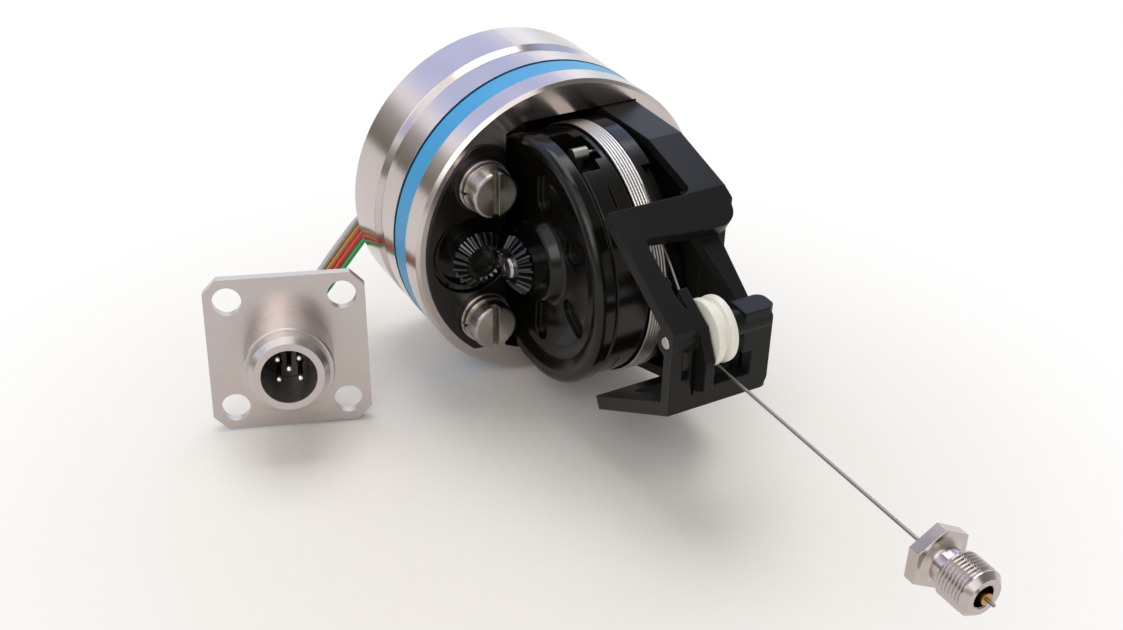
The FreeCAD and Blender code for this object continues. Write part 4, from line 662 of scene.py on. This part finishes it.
    def screens(self, tree: bpy.types.NodeTree) -> bpy.types.Node:
        """Screens round a photographer's table: cool and bright high up, with a darker gap low at the left.

        Args:
            tree: node tree of the world.

        Returns:
            Node that gives the colour seen in each direction.
        """
        way = add_node(tree, "ShaderNodeTexCoord").outputs["Generated"]
        parts = add_node(tree, "ShaderNodeSeparateXYZ", links={"Vector": way})
        lowest, highest = self.screen_heights
        height = add_node(tree, "ShaderNodeMapRange", {"From Min": lowest, "From Max": highest},
                          {"Value": parts.outputs["Z"]})
        left, right, front = (add_node(tree, "ShaderNodeValToRGB", {"stops": stops}, {"Fac": height})
                              for stops in (self.left_screen, self.right_screen, self.front_screen))
        side, ahead = (add_node(tree, "ShaderNodeMapRange",
                                {"interpolation_type": "SMOOTHSTEP", "From Min": -edge, "From Max": edge},
                                {"Value": parts.outputs[axis]})
                       for axis, edge in (("Y", self.side_blend), ("X", self.front_blend)))
        back = add_node(tree, "ShaderNodeMix", {"data_type": "RGBA"}, {0: side, 6: left, 7: right})
        table = add_node(tree, "ShaderNodeMix", {"data_type": "RGBA"}, {0: ahead, 6: back, 7: front})
        toward = add_node(tree, "ShaderNodeVectorMath", {"operation": "DOT_PRODUCT", 1: self.softbox_way}, {0: way})
        low, high = self.softbox_edge
        softbox = add_node(tree, "ShaderNodeMapRange",
                           {"interpolation_type": "SMOOTHSTEP", "From Min": low, "From Max": high},
                           {"Value": toward})
        return add_node(tree, "ShaderNodeMix", {"data_type": "RGBA", 7: linear("#FFFFFF")}, {0: softbox, 6: table})

    def world(self) -> None:
        """White surroundings for the camera, a plain dim light, and the screens for reflections."""
        world = bpy.data.worlds.new("studio")
        bpy.context.scene.world = world
        world.use_nodes = True
        tree = world.node_tree
        tree.nodes.clear()
        shown = add_node(tree, "ShaderNodeBackground", {"Color": linear("#FFFFFF"), "Strength": 1.0})
        lit = add_node(tree, "ShaderNodeBackground", {"Color": linear("#FFFDFB"), "Strength": self.world_light})
        glossy = add_node(tree, "ShaderNodeBackground", {"Strength": self.mirrored_light},
                          {"Color": self.screens(tree)})
        first = add_node(tree, "ShaderNodeMixShader", links={0: self.seen(tree, "Is Glossy Ray"), 1: lit, 2: glossy})
        seen = self.seen(tree, "Is Camera Ray", "Is Transmission Ray")
        second = add_node(tree, "ShaderNodeMixShader", links={0: seen, 1: first, 2: shown})
        add_node(tree, "ShaderNodeOutputWorld", links={"Surface": second})

    def build(self) -> None:
        """Set up the view, the stage and the light."""
        self.camera()
        self.floor()
        self.world()
        for name, place, size, power in self.lamps:
            self.lamp(name, place, size, power)
        bpy.context.scene.view_settings.view_transform = "Standard"
        LOG.info("studio is set")


class Lead(Enum):
    """Free leads from the housing to the connector, the lowest first: insulation colour of each."""

    GREEN = "#2FA046"
    RED = "#DE3A33"
    ORANGE = "#BF7D30"
    WHITE = "#B2AEA8"


@dataclass
class Leads:
    """Four insulated leads from the grommet to the connector's potting."""

    diameter: float = 0.94
    pitch: float = 1.0
    # Control points of the lowest lead, and how each point moves for the next lead above
    route: tuple[Point, ...] = ((0.9, -8.0, -6.5), (-4.6, -8.0, -6.5), (-7.7, -17.0, -8.9),
                                (-0.83, -24.98, -10.69), (6.0, -32.9, -12.5))
    step: tuple[Point, ...] = ((0.0, 0.0, 1.0), (0.0, 0.0, 1.0), (-0.3, -0.4, 0.9), (-0.28, -0.61, 0.75),
                               (-0.2, -0.35, 0.9))
    # Straight entry into the potting, along the connector's own axis
    entry: tuple[float, float] = (-8.65, -3.95)
    lengths: tuple[float, ...] = (48.4, 48.5, 48.7, 48.9)

    def points(self, index: int) -> list[Vector]:
        """Route of one lead.

        Args:
            index: 0 for the lowest.

        Returns:
            Its points in millimetres.
        """
        turn = Euler([math.radians(a) for a in CONNECTOR_TURN]).to_matrix()
        row = (index - (len(Lead) - 1) / 2) * self.pitch
        ends = [turn @ Vector((x, 0.0, row)) + Vector(CONNECTOR_PLACE) for x in self.entry]
        return [Vector(p) + Vector(s) * index for p, s in zip(self.route, self.step)] + ends

    def build(self) -> None:
        for index, lead in enumerate(Lead):
            name = "lead_" + lead.name.lower()
            curve = bpy.data.curves.new(name + "_cord", "CURVE")
            curve.dimensions = "3D"
            curve.bevel_depth = self.diameter / 2 * MM
            curve.bevel_resolution = 4
            curve.resolution_u = 16
            curve.use_fill_caps = True
            spline = curve.splines.new("NURBS")
            points = self.points(index)
            spline.points.add(len(points) - 1)
            for place, point in zip(spline.points, points):
                place.co = (*(point * MM), 1.0)
            spline.order_u = 3
            spline.use_endpoint_u = True
            # Extruded PVC: a soft even gloss with faint dust
            pvc = Moulding(name + "_pvc", lead.value, 0.42, grain_mm=0.15, grain=0.02, tone=0.1)
            curve.materials.append(pvc.build())
            item = bpy.data.objects.new(name + "_cord", curve)
            bpy.context.collection.objects.link(item)
            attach(item, "housing")
            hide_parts(name)
            LOG.info("%s lies on its route", name)


@dataclass
class Housing:
    """Turned steel housing with its seal, rear cover, electronics and the leads' sleeve."""

    sleeve_centre: tuple[float, float] = (-8.0, -5.0)
    # Place along the housing, half width and half height of each ring of the sleeve
    sleeve_rings: tuple[Point, ...] = ((-0.6, 3.3, 3.3), (-1.0, 3.3, 3.3), (-1.25, 2.6, 3.0), (-1.9, 1.5, 2.6),
                                       (-2.8, 0.95, 2.35), (-3.3, 0.7, 2.15))
    # Place along the housing and radius of each corner of the cone's section
    flank_section: tuple[tuple[float, float], ...] = ((8.0, 23.38), (8.0, 23.98), (9.15, 23.41), (9.15, 23.38))

    def sleeve(self, material: bpy.types.Material) -> None:
        """Tapered rubber sleeve round the four leads where they leave the grommet.

        Args:
            material: finish of the grommet.
        """
        y, z = self.sleeve_centre
        rings = [[(x, y + across * math.cos(a), z + up * math.sin(a)) for a in circle(40)]
                 for x, across, up in self.sleeve_rings]
        new_piece(skin("lead_sleeve", rings, material, 60.0, closed=False), "housing", "rubber")

    def flank(self, material: bpy.types.Material) -> None:
        """Cone that leads down into the lock groove from its rear edge.

        Args:
            material: finish of the housing.
        """
        rings = [[(x, radius * math.cos(a), radius * math.sin(a)) for a in circle(180)]
                 for x, radius in self.flank_section]
        new_piece(skin("lock_groove_flank", rings, material, 20.0), "housing", "steel")

    def build(self) -> None:
        """Dress the housing and its pieces."""
        # Free-cutting steel, turned: warm grey with a drawn-out satin gloss
        steel = TurnedMetal("turned_steel", "#C4B9B5", Spindle.HOUSING, 0.17, 0.4).build()
        dress(steel, "housing_body")
        self.flank(steel)
        # Polyurethane, moulded: even light blue, half matt
        dress(Moulding("sealing_polyurethane", "#3AA2DC", 0.42, grain_mm=0.2, tone=0.05, glow=0.1).build(),
              "seal_ring")
        # Nitrile rubber, moulded: dull black
        rubber = Moulding("nitrile_rubber", "#161615", 0.62, grain_mm=0.15, grain=0.08).build()
        dress(rubber, "seal_energiser", "lead_grommet", "connector_gasket")
        self.sleeve(rubber)
        # Phosphated steel, turned: darker grey with fine marks
        dress(TurnedMetal("turned_cover_steel", "#8F8C8C", Spindle.HOUSING, 0.3, 0.4).build(), "rear_cover")
        # Zinc-plated steel: pale and slightly dull
        dress(TurnedMetal("zinc_screw", "#AFACAA", Spindle.HOUSING, 0.25, 0.2).build(), "cover_screws")
        # Solder resist, printed on glass-fibre board: deep green with a soft gloss
        dress(Moulding("solder_resist", "#1E5B34", 0.32, grain_mm=0.4, tone=0.12).build(),
              "circuit_board", "sensor_board")
        # Epoxy, moulded: flat black
        dress(Moulding("chip_moulding", "#171717", 0.5).build(), "sensor_chip")


@dataclass
class GearEnd:
    """Black carrier at the left of the drum, with its screws, washers and the bevel gears."""

    plate_radius: float = 22.55
    plate_thick: float = 0.34
    plate_round: float = 0.14
    right_y: float = -9.65
    lobe_radius: float = 6.0
    seat_radius: float = 4.3
    opening_radius: float = 6.5
    slot_half: float = 0.52
    slot_along: tuple[float, float] = (26.15, 27.65)
    # Steps of the cover's outline along a lobe, the housing's arc and the gear's opening
    outline_steps: tuple[int, int, int] = (24, 80, 60)

    def plate_outline(self) -> list[tuple[float, float]]:
        """Outline of the cover plate: the housing's arc, a lobe round each screw and the gear's opening.

        Returns:
            Its corners as places across and up, in millimetres.
        """
        screw_y, screw_z = LEFT_SCREWS
        far = math.hypot(screw_y, screw_z)
        at = math.atan2(screw_z, screw_y)
        off = math.acos((self.plate_radius ** 2 + far ** 2 - self.lobe_radius ** 2) / (2 * self.plate_radius * far))
        meet = at - off
        first = math.acos((self.right_y - screw_y) / self.lobe_radius)
        last = math.atan2(self.plate_radius * math.sin(meet) - screw_z,
                          self.plate_radius * math.cos(meet) - screw_y)
        lobe_steps, arc_steps, hole_steps = self.outline_steps
        lobe = [first + (last - first) * i / lobe_steps for i in range(lobe_steps + 1)]
        upper = [(screw_y + self.lobe_radius * math.cos(a), screw_z + self.lobe_radius * math.sin(a)) for a in lobe]
        arc = [meet + (2 * math.pi - 2 * meet) * i / arc_steps for i in range(1, arc_steps)]
        outer = [(self.plate_radius * math.cos(a), self.plate_radius * math.sin(a)) for a in arc]
        lower = [(y, -z) for y, z in reversed(upper)]
        start = math.acos((self.right_y - GEAR_Y) / self.opening_radius)
        hole = [2 * math.pi - start - (2 * math.pi - 2 * start) * i / hole_steps for i in range(hole_steps + 1)]
        opening = [(GEAR_Y + self.opening_radius * math.cos(a), self.opening_radius * math.sin(a)) for a in hole]
        return upper + outer + lower + opening

    def plate(self, material: bpy.types.Material) -> None:
        """Thin moulded cover with rounded edges, which lies on the housing's face round the gear and the screws.

        Args:
            material: finish of the carrier.
        """
        curve = bpy.data.curves.new("carrier_cover", "CURVE")
        curve.dimensions = "2D"
        curve.fill_mode = "BOTH"
        curve.extrude = (self.plate_thick / 2 - self.plate_round) * MM
        curve.bevel_depth = self.plate_round * MM
        curve.bevel_resolution = 3
        curve.offset = -self.plate_round * MM
        screw_y, screw_z = LEFT_SCREWS
        seats = [[(screw_y + self.seat_radius * math.cos(a), side * screw_z + self.seat_radius * math.sin(a))
                  for a in circle(64)] for side in (1, -1)]
        for outline in [self.plate_outline()] + seats:
            spline = curve.splines.new("POLY")
            spline.points.add(len(outline) - 1)
            for point, (y, z) in zip(spline.points, outline):
                point.co = (y * MM, z * MM, 0.0, 1.0)
            spline.use_cyclic_u = True
        flat = bpy.data.objects.new("carrier_cover_curve", curve)
        bpy.context.collection.objects.link(flat)
        graph = bpy.context.evaluated_depsgraph_get()
        mesh = bpy.data.meshes.new_from_object(flat.evaluated_get(graph), depsgraph=graph)
        bpy.data.objects.remove(flat)
        mesh.name = "carrier_cover"
        stand = Matrix(((0, 0, 1), (1, 0, 0), (0, 1, 0))).to_4x4()
        mesh.transform(Matrix.Translation(((FRONT_X + self.plate_thick / 2) * MM, 0, 0)) @ stand)
        mesh.materials.clear()
        mesh.materials.append(material)
        mesh.shade_smooth()
        mesh.set_sharp_from_angle(angle=math.radians(40))
        new_piece(mesh, "housing", "gloss_black")

    def build(self) -> None:
        """Dress the carrier, the screws and the gears."""
        # Glass-filled polyamide from a polished mould: deep black, near mirror gloss
        gloss = Moulding("polished_black_moulding", "#11100E", 0.17, specular=0.35, grain_mm=0.3, grain=0.006).build()
        dress(gloss, "gear_carrier", "connector_insert", "spring_cover")
        self.plate(gloss)
        # Acetal, moulded: black teeth with crisp lights on their tips
        dress(Moulding("gear_acetal", "#0D0D0C", 0.16, specular=0.6, grain=0.006, edge_mm=0.07).build(),
              "sensor_gear", "drum_gear")
        # Steel, faced on the lathe: lights fan out from the middle of each head; the slot's floor is painted darker, as
        # painted shade
        painted_slot_shade = Patch("#8A8478", self.slot_along, (-self.slot_half, self.slot_half), across=True)
        dress(TurnedMetal("turned_screw_steel", "#ABA39A", Spindle.SCREWS, 0.25, 0.92, 0.1, 0.08, worn=0.12,
                          patch=painted_slot_shade).build(), "fixing_screws")
        # Steel, stamped and ground: a little brighter than the screws
        dress(TurnedMetal("washer_steel", "#C6BFBA", Spindle.SCREWS, 0.24, 0.4, 0.12, worn=0.1).build(),
              "lock_washers", "flat_washers")
        # Black-oxide steel, turned: dark, satin
        dress(TurnedMetal("black_oxide_steel", "#3A3937", Spindle.SENSOR, 0.3, 0.4).build(), "sensor_shaft")
        # Bronze, sintered: brown with open grain
        dress(Moulding("sintered_bronze", "#A8803C", 0.34, 1.0, grain_mm=0.12, grain=0.1).build(),
              "sensor_bush", "shaft_bushes")
        # Nickel on a pressed magnet: plain and bright
        dress(Moulding("plated_magnet", "#9B9B9F", 0.22, 1.0).build(), "sensor_magnet")


@dataclass
class Drum:
    """Drum with its shaft, spring and the wound layer of wire."""

    track_radius: float = 18.675
    first_y: float = 0.245
    pitch: float = 0.45
    turns: int = 6
    wire_radius: float = 0.225
    lay: float = 3.0

    def winding_tree(self) -> bpy.types.NodeTree:
        """Tree that winds equal turns of stranded wire side by side along the drum's axis.

        Returns:
            The tree.
        """
        tree, source = start_tree("winding", {"Turns": 6, "Radius": 0.0187, "Pitch": 0.00045, "Wire": 0.000225,
                                              "Lay": 0.003, "First": 0.0, "Axis": 0.0296})
        ring = add_node(tree, "GeometryNodeMeshCircle", {"Vertices": 320}, {"Radius": source.outputs["Radius"]})
        stood = add_node(tree, "GeometryNodeTransform", {"Rotation": (math.pi / 2, 0.0, 0.0)}, {"Geometry": ring})
        step = add_node(tree, "ShaderNodeCombineXYZ", links={"Y": source.outputs["Pitch"]})
        start = add_node(tree, "ShaderNodeCombineXYZ",
                         links={"X": source.outputs["Axis"], "Y": source.outputs["First"]})
        row = add_node(tree, "GeometryNodeMeshLine", {"mode": "OFFSET"},
                       {"Count": source.outputs["Turns"], "Start Location": start, "Offset": step})
        wound = add_node(tree, "GeometryNodeInstanceOnPoints",
                         links={"Points": row, "Instance": strand(tree, source, stood)})
        end_tree(tree, source, wound)
        return tree

    def build(self, wire: bpy.types.Material) -> None:
        """Dress the drum and wind the wire on it.

        Args:
            wire: finish of the measuring wire.
        """
        # Polycarbonate blend, moulded: black with a soft clear gloss
        dress(Moulding("black_drum_moulding", "#12110F", 0.19, specular=0.36, grain_mm=0.3, grain=0.006,
                       edge_mm=0.18).build(), "drum")
        # The same from another mould: a glossier face with a thin light on its rim
        dress(Moulding("black_disc_moulding", "#100F0D", 0.16, specular=0.3, grain_mm=0.3, grain=0.006,
                       edge_mm=0.3).build(), "end_disc")
        # Steel, ground: bright with fine rings
        dress(TurnedMetal("ground_shaft_steel", "#B9B3AE", Spindle.DRUM, 0.18, 0.5, worn=0.15).build(),
              "drum_shaft", "spring_arbor")
        # Spring steel, blued: dark blue-grey, half bright
        dress(Moulding("blued_spring_strip", "#3B4350", 0.3, 1.0).build(), "power_spring", "shaft_clip")
        # Steel sleeve, crimped on the wire's end: dull grey with rounded edges
        dress(Moulding("crimp_steel", "#A5A29C", 0.42, 1.0, grain=0.05, edge_mm=0.15).build(), "wire_anchor")
        sizes = {"Turns": self.turns, "Radius": self.track_radius, "Pitch": self.pitch, "Wire": self.wire_radius,
                 "Lay": self.lay, "First": self.first_y, "Axis": DRUM_X}
        new_piece(grow("wound_wire", self.winding_tree(), sizes, wire), "drum_body", "wire", "wire_winding")


@dataclass
class GuideFrame:
    """Black frame with its nose, guide roller and pin."""

    roller_half: float = 1.5
    rim_radius: float = 4.55
    rim_round: float = 0.3
    groove_radius: float = 3.87
    groove_half: float = 0.4
    # Share of the groove's half width and height over its floor of each corner at the foot of a flank
    groove_foot: tuple[tuple[float, float], ...] = ((0.85, 0.15), (0.6, 0.0))
    roller_bore: float = 1.03
    sides: int = 128

    def roller(self, material: bpy.types.Material) -> None:
        """Roller with two rounded rims and a narrow groove between them.

        Args:
            material: finish of the roller.
        """
        quarter = [math.pi / 2 * i / 6 for i in range(7)]
        high = self.rim_radius - self.rim_round
        out = self.roller_half - self.rim_round
        side = [(self.roller_half, self.roller_bore)]
        side += [(out + self.rim_round * math.cos(a), high + self.rim_round * math.sin(a)) for a in quarter]
        side += [(self.groove_half + self.rim_round * (1 - math.sin(a)), high + self.rim_round * math.cos(a))
                 for a in quarter]
        side += [(self.groove_half * share, self.groove_radius + up) for share, up in self.groove_foot]
        section = side + [(-y, r) for y, r in reversed(side)]
        rings = [[(ROLLER_X + r * math.cos(a), y, ROLLER_Z + r * math.sin(a)) for a in circle(self.sides)]
                 for y, r in section]
        new_piece(skin("guide_roller", rings, material), "roller_body", "roller_white", "roller")

    def build(self) -> None:
        """Dress the frame, the roller and the pin."""
        # Glass-filled polyamide, moulded: charcoal with a fine matt grain and soft edges
        dress(Moulding("charcoal_moulding", "#1A1A19", 0.3, specular=0.16, grain_mm=0.35, grain=0.05, tone=0.08,
                       edge_mm=0.3).build(), "guide_frame")
        # Acetal, turned: off-white and slightly waxy
        self.roller(Moulding("white_acetal", "#F1EEE4", 0.34, grain_mm=0.3, grain=0.01, edge_mm=0.1,
                             glow=0.15).build())
        # Steel, ground: bright end in the frame's side
        dress(TurnedMetal("pin_steel", "#C0BBB6", Spindle.ROLLER, 0.18, 0.5, worn=0.1).build(),
              "roller_pin", "pin_spacers")


@dataclass
class MeasuringWire:
    """Stranded wire from the drum under the roller, and the threaded fitting on its end."""

    wire_radius: float = 0.245
    lay: float = 3.0
    leave: Point = (40.68, 2.495, 15.03)
    meet: Point = (59.985, 0.0, 0.804)
    bend_radius: float = 4.12
    into_fitting: float = 0.4
    lead_steps: int = 70
    bend_steps: int = 8
    run_steps: int = 130
    hex_across: float = 7.15
    hex_thick: float = 1.6
    hex_edge: float = 0.04
    # Distance from a face of the hexagon of the rings that break its edge
    edge_rings: tuple[float, ...] = (0.0, 0.05)
    # Distance from the hexagon's front face and radius of each ring of the fillet, which ends at the neck
    fillet: tuple[tuple[float, float], ...] = ((0.0, 3.05), (0.16, 2.75), (0.45, 2.32), (0.6, 2.2))
    neck_radius: float = 2.2
    neck_long: float = 1.9
    thread_radius: float = 3.0
    thread_long: float = 4.9
    thread_pitch: float = 0.5
    thread_deep: float = 0.24
    # Share of the pitch at each corner of the thread's section, and whether it lies on the crest
    thread_section: tuple[tuple[float, bool], ...] = ((0.0, False), (0.12, False), (0.5, True), (0.62, True))
    runout: float = 0.3
    # Rise of the thread's radius from the neck, and over the run-out, for each millimetre along
    first_slope: float = 1.8
    last_slope: float = 2.0
    collar_radius: float = 2.96
    chamfer: float = 0.7
    socket_radius: float = 1.4
    socket_deep: float = 1.6
    socket_edge: float = 0.15
    bore_radius: float = 0.78
    sides: int = 96

    def wire_tree(self) -> bpy.types.NodeTree:
        """Tree that turns a line into stranded wire.

        Returns:
            The tree.
        """
        tree, source = start_tree("stranded_wire", {"Wire": 0.000225, "Lay": 0.003})
        end_tree(tree, source, strand(tree, source, source.outputs["Geometry"]))
        return tree

    def lead_in(self) -> list[Point]:
        """Line of the wire from the drum to the lowest point of the roller's groove.

        Returns:
            Its points, in millimetres.
        """
        run = Vector(self.meet) - Vector(self.leave)
        line = [tuple(Vector(self.leave) + run * (i / self.lead_steps)) for i in range(self.lead_steps)]
        start = math.asin((ROLLER_X - self.meet[0]) / self.bend_radius)
        arc = [start * (1 - i / self.bend_steps) for i in range(self.bend_steps + 1)]
        return line + [(ROLLER_X - self.bend_radius * math.sin(a), 0.0,
                        ROLLER_Z - self.bend_radius * math.cos(a)) for a in arc]

    def ring(self, x: float, radius: Callable[[float], float] | float) -> list[Point]:
        """Ring round the stud.

        Args:
            x: place along the stud.
            radius: radius, or a function of the angle that gives it.

        Returns:
            The ring's points, in millimetres.
        """
        points = []
        for angle in circle(self.sides):
            r = radius(angle) if callable(radius) else radius
            points.append((x, r * math.sin(angle), r * math.cos(angle)))
        return points

    def thread_ring(self, x: float, crest: bool) -> list[Point]:
        """Ring of the thread that follows its helix.

        Args:
            x: place along the stud of the ring's start.
            crest: the ring lies on a crest rather than in a root.

        Returns:
            The ring's points, in millimetres.
        """
        x0 = FITTING_X + self.hex_thick + self.neck_long
        x1 = x0 + self.thread_long - self.chamfer - self.runout
        root = self.thread_radius - self.thread_deep
        points = []
        for i, angle in enumerate(circle(self.sides)):
            here = min(max(x + self.thread_pitch * i / self.sides, x0), x1)
            radius = self.thread_radius - (0.0 if crest else self.thread_deep)
            radius = min(radius, self.neck_radius + (here - x0) * self.first_slope,
                         root + (x1 - here) * self.last_slope)
            points.append((here, radius * math.sin(angle), radius * math.cos(angle)))
        return points

    def hexagon(self, inside: float) -> Callable[[float], float]:
        """Outline of the hexagon, slightly smaller at its faces.

        Args:
            inside: distance from the nearer face, in millimetres.

        Returns:
            Function that gives the radius at an angle.
        """
        flat = self.hex_across / 2 - self.hex_edge + min(inside, self.hex_edge)

        def radius(angle: float) -> float:
            """Radius of the flat that this angle meets."""
            return flat / math.cos(math.radians(math.degrees(angle) % 60 - 30))

        return radius

    def fitting(self, material: bpy.types.Material) -> None:
        """Hexagon, neck and cut thread, with the socket in the front.

        Args:
            material: finish of the fitting.
        """
        x0 = FITTING_X
        x1 = x0 + self.hex_thick
        x2 = x1 + self.neck_long
        x3 = x2 + self.thread_long
        rings = [self.ring(x0, self.bore_radius)]
        rings += [self.ring(x0 + d, self.hexagon(d)) for d in self.edge_rings]
        rings += [self.ring(x1 - d, self.hexagon(d)) for d in reversed(self.edge_rings)]
        rings += [self.ring(x1 + along, radius) for along, radius in self.fillet]
        rings.append(self.ring(x2, self.neck_radius))
        start = x2 - self.thread_pitch
        while start < x3:
            rings += [self.thread_ring(start + self.thread_pitch * share, crest)
                      for share, crest in self.thread_section]
            start += self.thread_pitch
        front = ((self.chamfer + self.runout * 0.7, self.collar_radius), (self.chamfer, self.collar_radius),
                 (0.0, self.thread_radius - self.chamfer), (0.0, self.socket_radius + self.socket_edge),
                 (self.socket_edge, self.socket_radius), (self.socket_deep, self.socket_radius),
                 (self.socket_deep, self.bore_radius))
        rings += [self.ring(x3 - back, radius) for back, radius in front]
        new_piece(skin("threaded_fitting", rings, material, 28.0), "wire_end", "dark_steel", "end_fitting")

    def build(self, wire: bpy.types.Material) -> None:
        """Lay the wire and finish its end.

        Args:
            wire: finish of the measuring wire.
        """
        tree = self.wire_tree()
        sizes = {"Wire": self.wire_radius, "Lay": self.lay}
        new_piece(grow("wire_to_roller", tree, sizes, wire, self.lead_in()), "housing", "wire", "wire_lead_in")
        run = FITTING_X + self.into_fitting - ROLLER_X
        line = [(ROLLER_X + run * i / self.run_steps, 0.0, 0.0) for i in range(self.run_steps + 1)]
        piece = new_piece(grow("free_wire", tree, sizes, wire, line), "", "wire", "wire_run")
        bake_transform(piece)
        dress(wire, "wire_tip")
        # Stainless steel, turned and milled: bright satin, with its socket painted dark as painted shade in the recess
        socket = Patch("#33302D", along=(0.0, 114.35), out=(0.0, 1.43))
        self.fitting(TurnedMetal("stainless_fitting", "#BDB2AD", Spindle.HOUSING, 0.2, 0.35, worn=0.06,
                                 patch=socket).build())
        # Brass, drawn: warm yellow, its collar inside the socket painted black as painted shade
        painted_collar_shade = Patch("#1A1815", along=(0.0, 114.0), out=(self.bore_radius, 99.0))
        dress(TurnedMetal("drawn_brass", "#B98C46", Spindle.HOUSING, 0.24, 0.3, worn=0.05, patch=painted_collar_shade).build(),
              "end_ferrule")


@dataclass
class Connector:
    """Round plug connector with a square flange, standing on the same surface."""

    pin_radius: float = 0.36
    ring_radius: float = 2.15
    face_x: float = 0.2
    pin_out: float = 6.75
    pin_in: float = 3.0
    bright_to: float = 9.0

    def pin_tree(self) -> bpy.types.NodeTree:
        """Tree that sets round-tipped pins on a ring and one in its middle, along +Z.

        Returns:
            The tree.
        """
        tree, source = start_tree("contact_pins", {"Ring": 0.00215, "Radius": 0.00036, "Out": 0.007, "In": 0.003})
        size = source.outputs
        ring = add_node(tree, "GeometryNodeMeshCircle", {"Vertices": 4}, {"Radius": size["Ring"]})
        turned = add_node(tree, "GeometryNodeTransform", {"Rotation": (0.0, 0.0, math.pi / 4)}, {"Geometry": ring})
        middle = add_node(tree, "GeometryNodeMeshLine", {"Count": 1})
        places = add_node(tree, "GeometryNodeJoinGeometry", links={0: turned})
        tree.links.new(middle.outputs["Mesh"], places.inputs[0])
        whole = add_node(tree, "ShaderNodeMath", {"operation": "ADD"}, {0: size["Out"], 1: size["In"]})
        rod = add_node(tree, "GeometryNodeMeshCylinder", {"Vertices": 28}, {"Radius": size["Radius"], "Depth": whole})
        half = add_node(tree, "ShaderNodeMath", {"operation": "MULTIPLY", 1: 0.5}, {0: whole})
        up = add_node(tree, "ShaderNodeMath", {"operation": "SUBTRACT"}, {0: half, 1: size["In"]})
        raised = add_node(tree, "ShaderNodeCombineXYZ", links={"Z": up})
        rod = add_node(tree, "GeometryNodeTransform", links={"Geometry": rod, "Translation": raised})
        ball = add_node(tree, "GeometryNodeMeshUVSphere", {"Segments": 28, "Rings": 14}, {"Radius": size["Radius"]})
        top = add_node(tree, "ShaderNodeCombineXYZ", links={"Z": size["Out"]})
        tip = add_node(tree, "GeometryNodeTransform", {"Scale": (1.0, 1.0, 0.6)},
                       {"Geometry": ball, "Translation": top})
        pin = add_node(tree, "GeometryNodeJoinGeometry", links={0: rod})
        tree.links.new(tip.outputs["Geometry"], pin.inputs[0])
        pins = add_node(tree, "GeometryNodeInstanceOnPoints", links={"Points": places, "Instance": pin})
        end_tree(tree, source, pins)
        return tree

    def build(self) -> None:
        """Set the contacts and dress the connector."""
        # Tin-plated brass, turned: painted dark as the shade of the connector's cavity, with a painted highlight on its
        # tips
        painted_tip_highlight = Patch("#FBF9F6", (self.pin_out, self.bright_to))
        tin = TurnedMetal("tinned_contact", "#4E4B47", Spindle.CONNECTOR, 0.3, 0.2, 0.1, 0.02, worn=0.03, patch=painted_tip_highlight)
        sizes = {"Ring": self.ring_radius, "Radius": self.pin_radius, "Out": self.pin_out, "In": self.pin_in}
        mesh = grow("contact_pins", self.pin_tree(), sizes, tin.build())
        lie = Matrix.Rotation(math.pi / 2, 4, "Y")
        turn = Euler([math.radians(a) for a in CONNECTOR_TURN]).to_matrix().to_4x4()
        place = Matrix.Translation(Vector(CONNECTOR_PLACE) * MM) @ turn @ Matrix.Translation((self.face_x * MM, 0, 0))
        mesh.transform(place @ lie)
        new_piece(mesh, "housing", "gold", "connector_contacts")
        # Nickel-plated die casting, blasted: satin warm grey
        dress(Moulding("satin_nickel", "#C2B9B5", 0.26, 0.85, grain_mm=0.12, grain=0.01, edge_mm=0.05).build(),
              "connector_shell")
        # Epoxy resin, cast: black with a slightly wavy gloss
        dress(Moulding("potting_resin", "#1C1C1D", 0.3, specular=0.5, grain_mm=0.8, grain=0.1).build(),
              "connector_potting")


def main() -> None:
    """Build the stage, lay the leads and dress every piece."""
    logging.basicConfig(level=logging.INFO, format="%(name)s: %(message)s")
    Studio().build()
    Leads().build()
    # Stainless strands, drawn: grey with a dull gloss
    wound = Moulding("stranded_steel", "#CFCAC3", 0.38, 1.0, grain_mm=0.1, grain=0.05, tone=0.15, edge_mm=0.02)
    # The free length: the same strands, painted darker as a shaded copy of the wound turns
    shaded_wire = Moulding("shaded_strands", "#8B8881", 0.34, 1.0, grain_mm=0.1, grain=0.05, tone=0.15, edge_mm=0.02)
    Housing().build()
    GearEnd().build()
    Drum().build(wound.build())
    GuideFrame().build()
    MeasuringWire().build(shaded_wire.build())
    Connector().build()


if __name__ == "__main__":
    main()
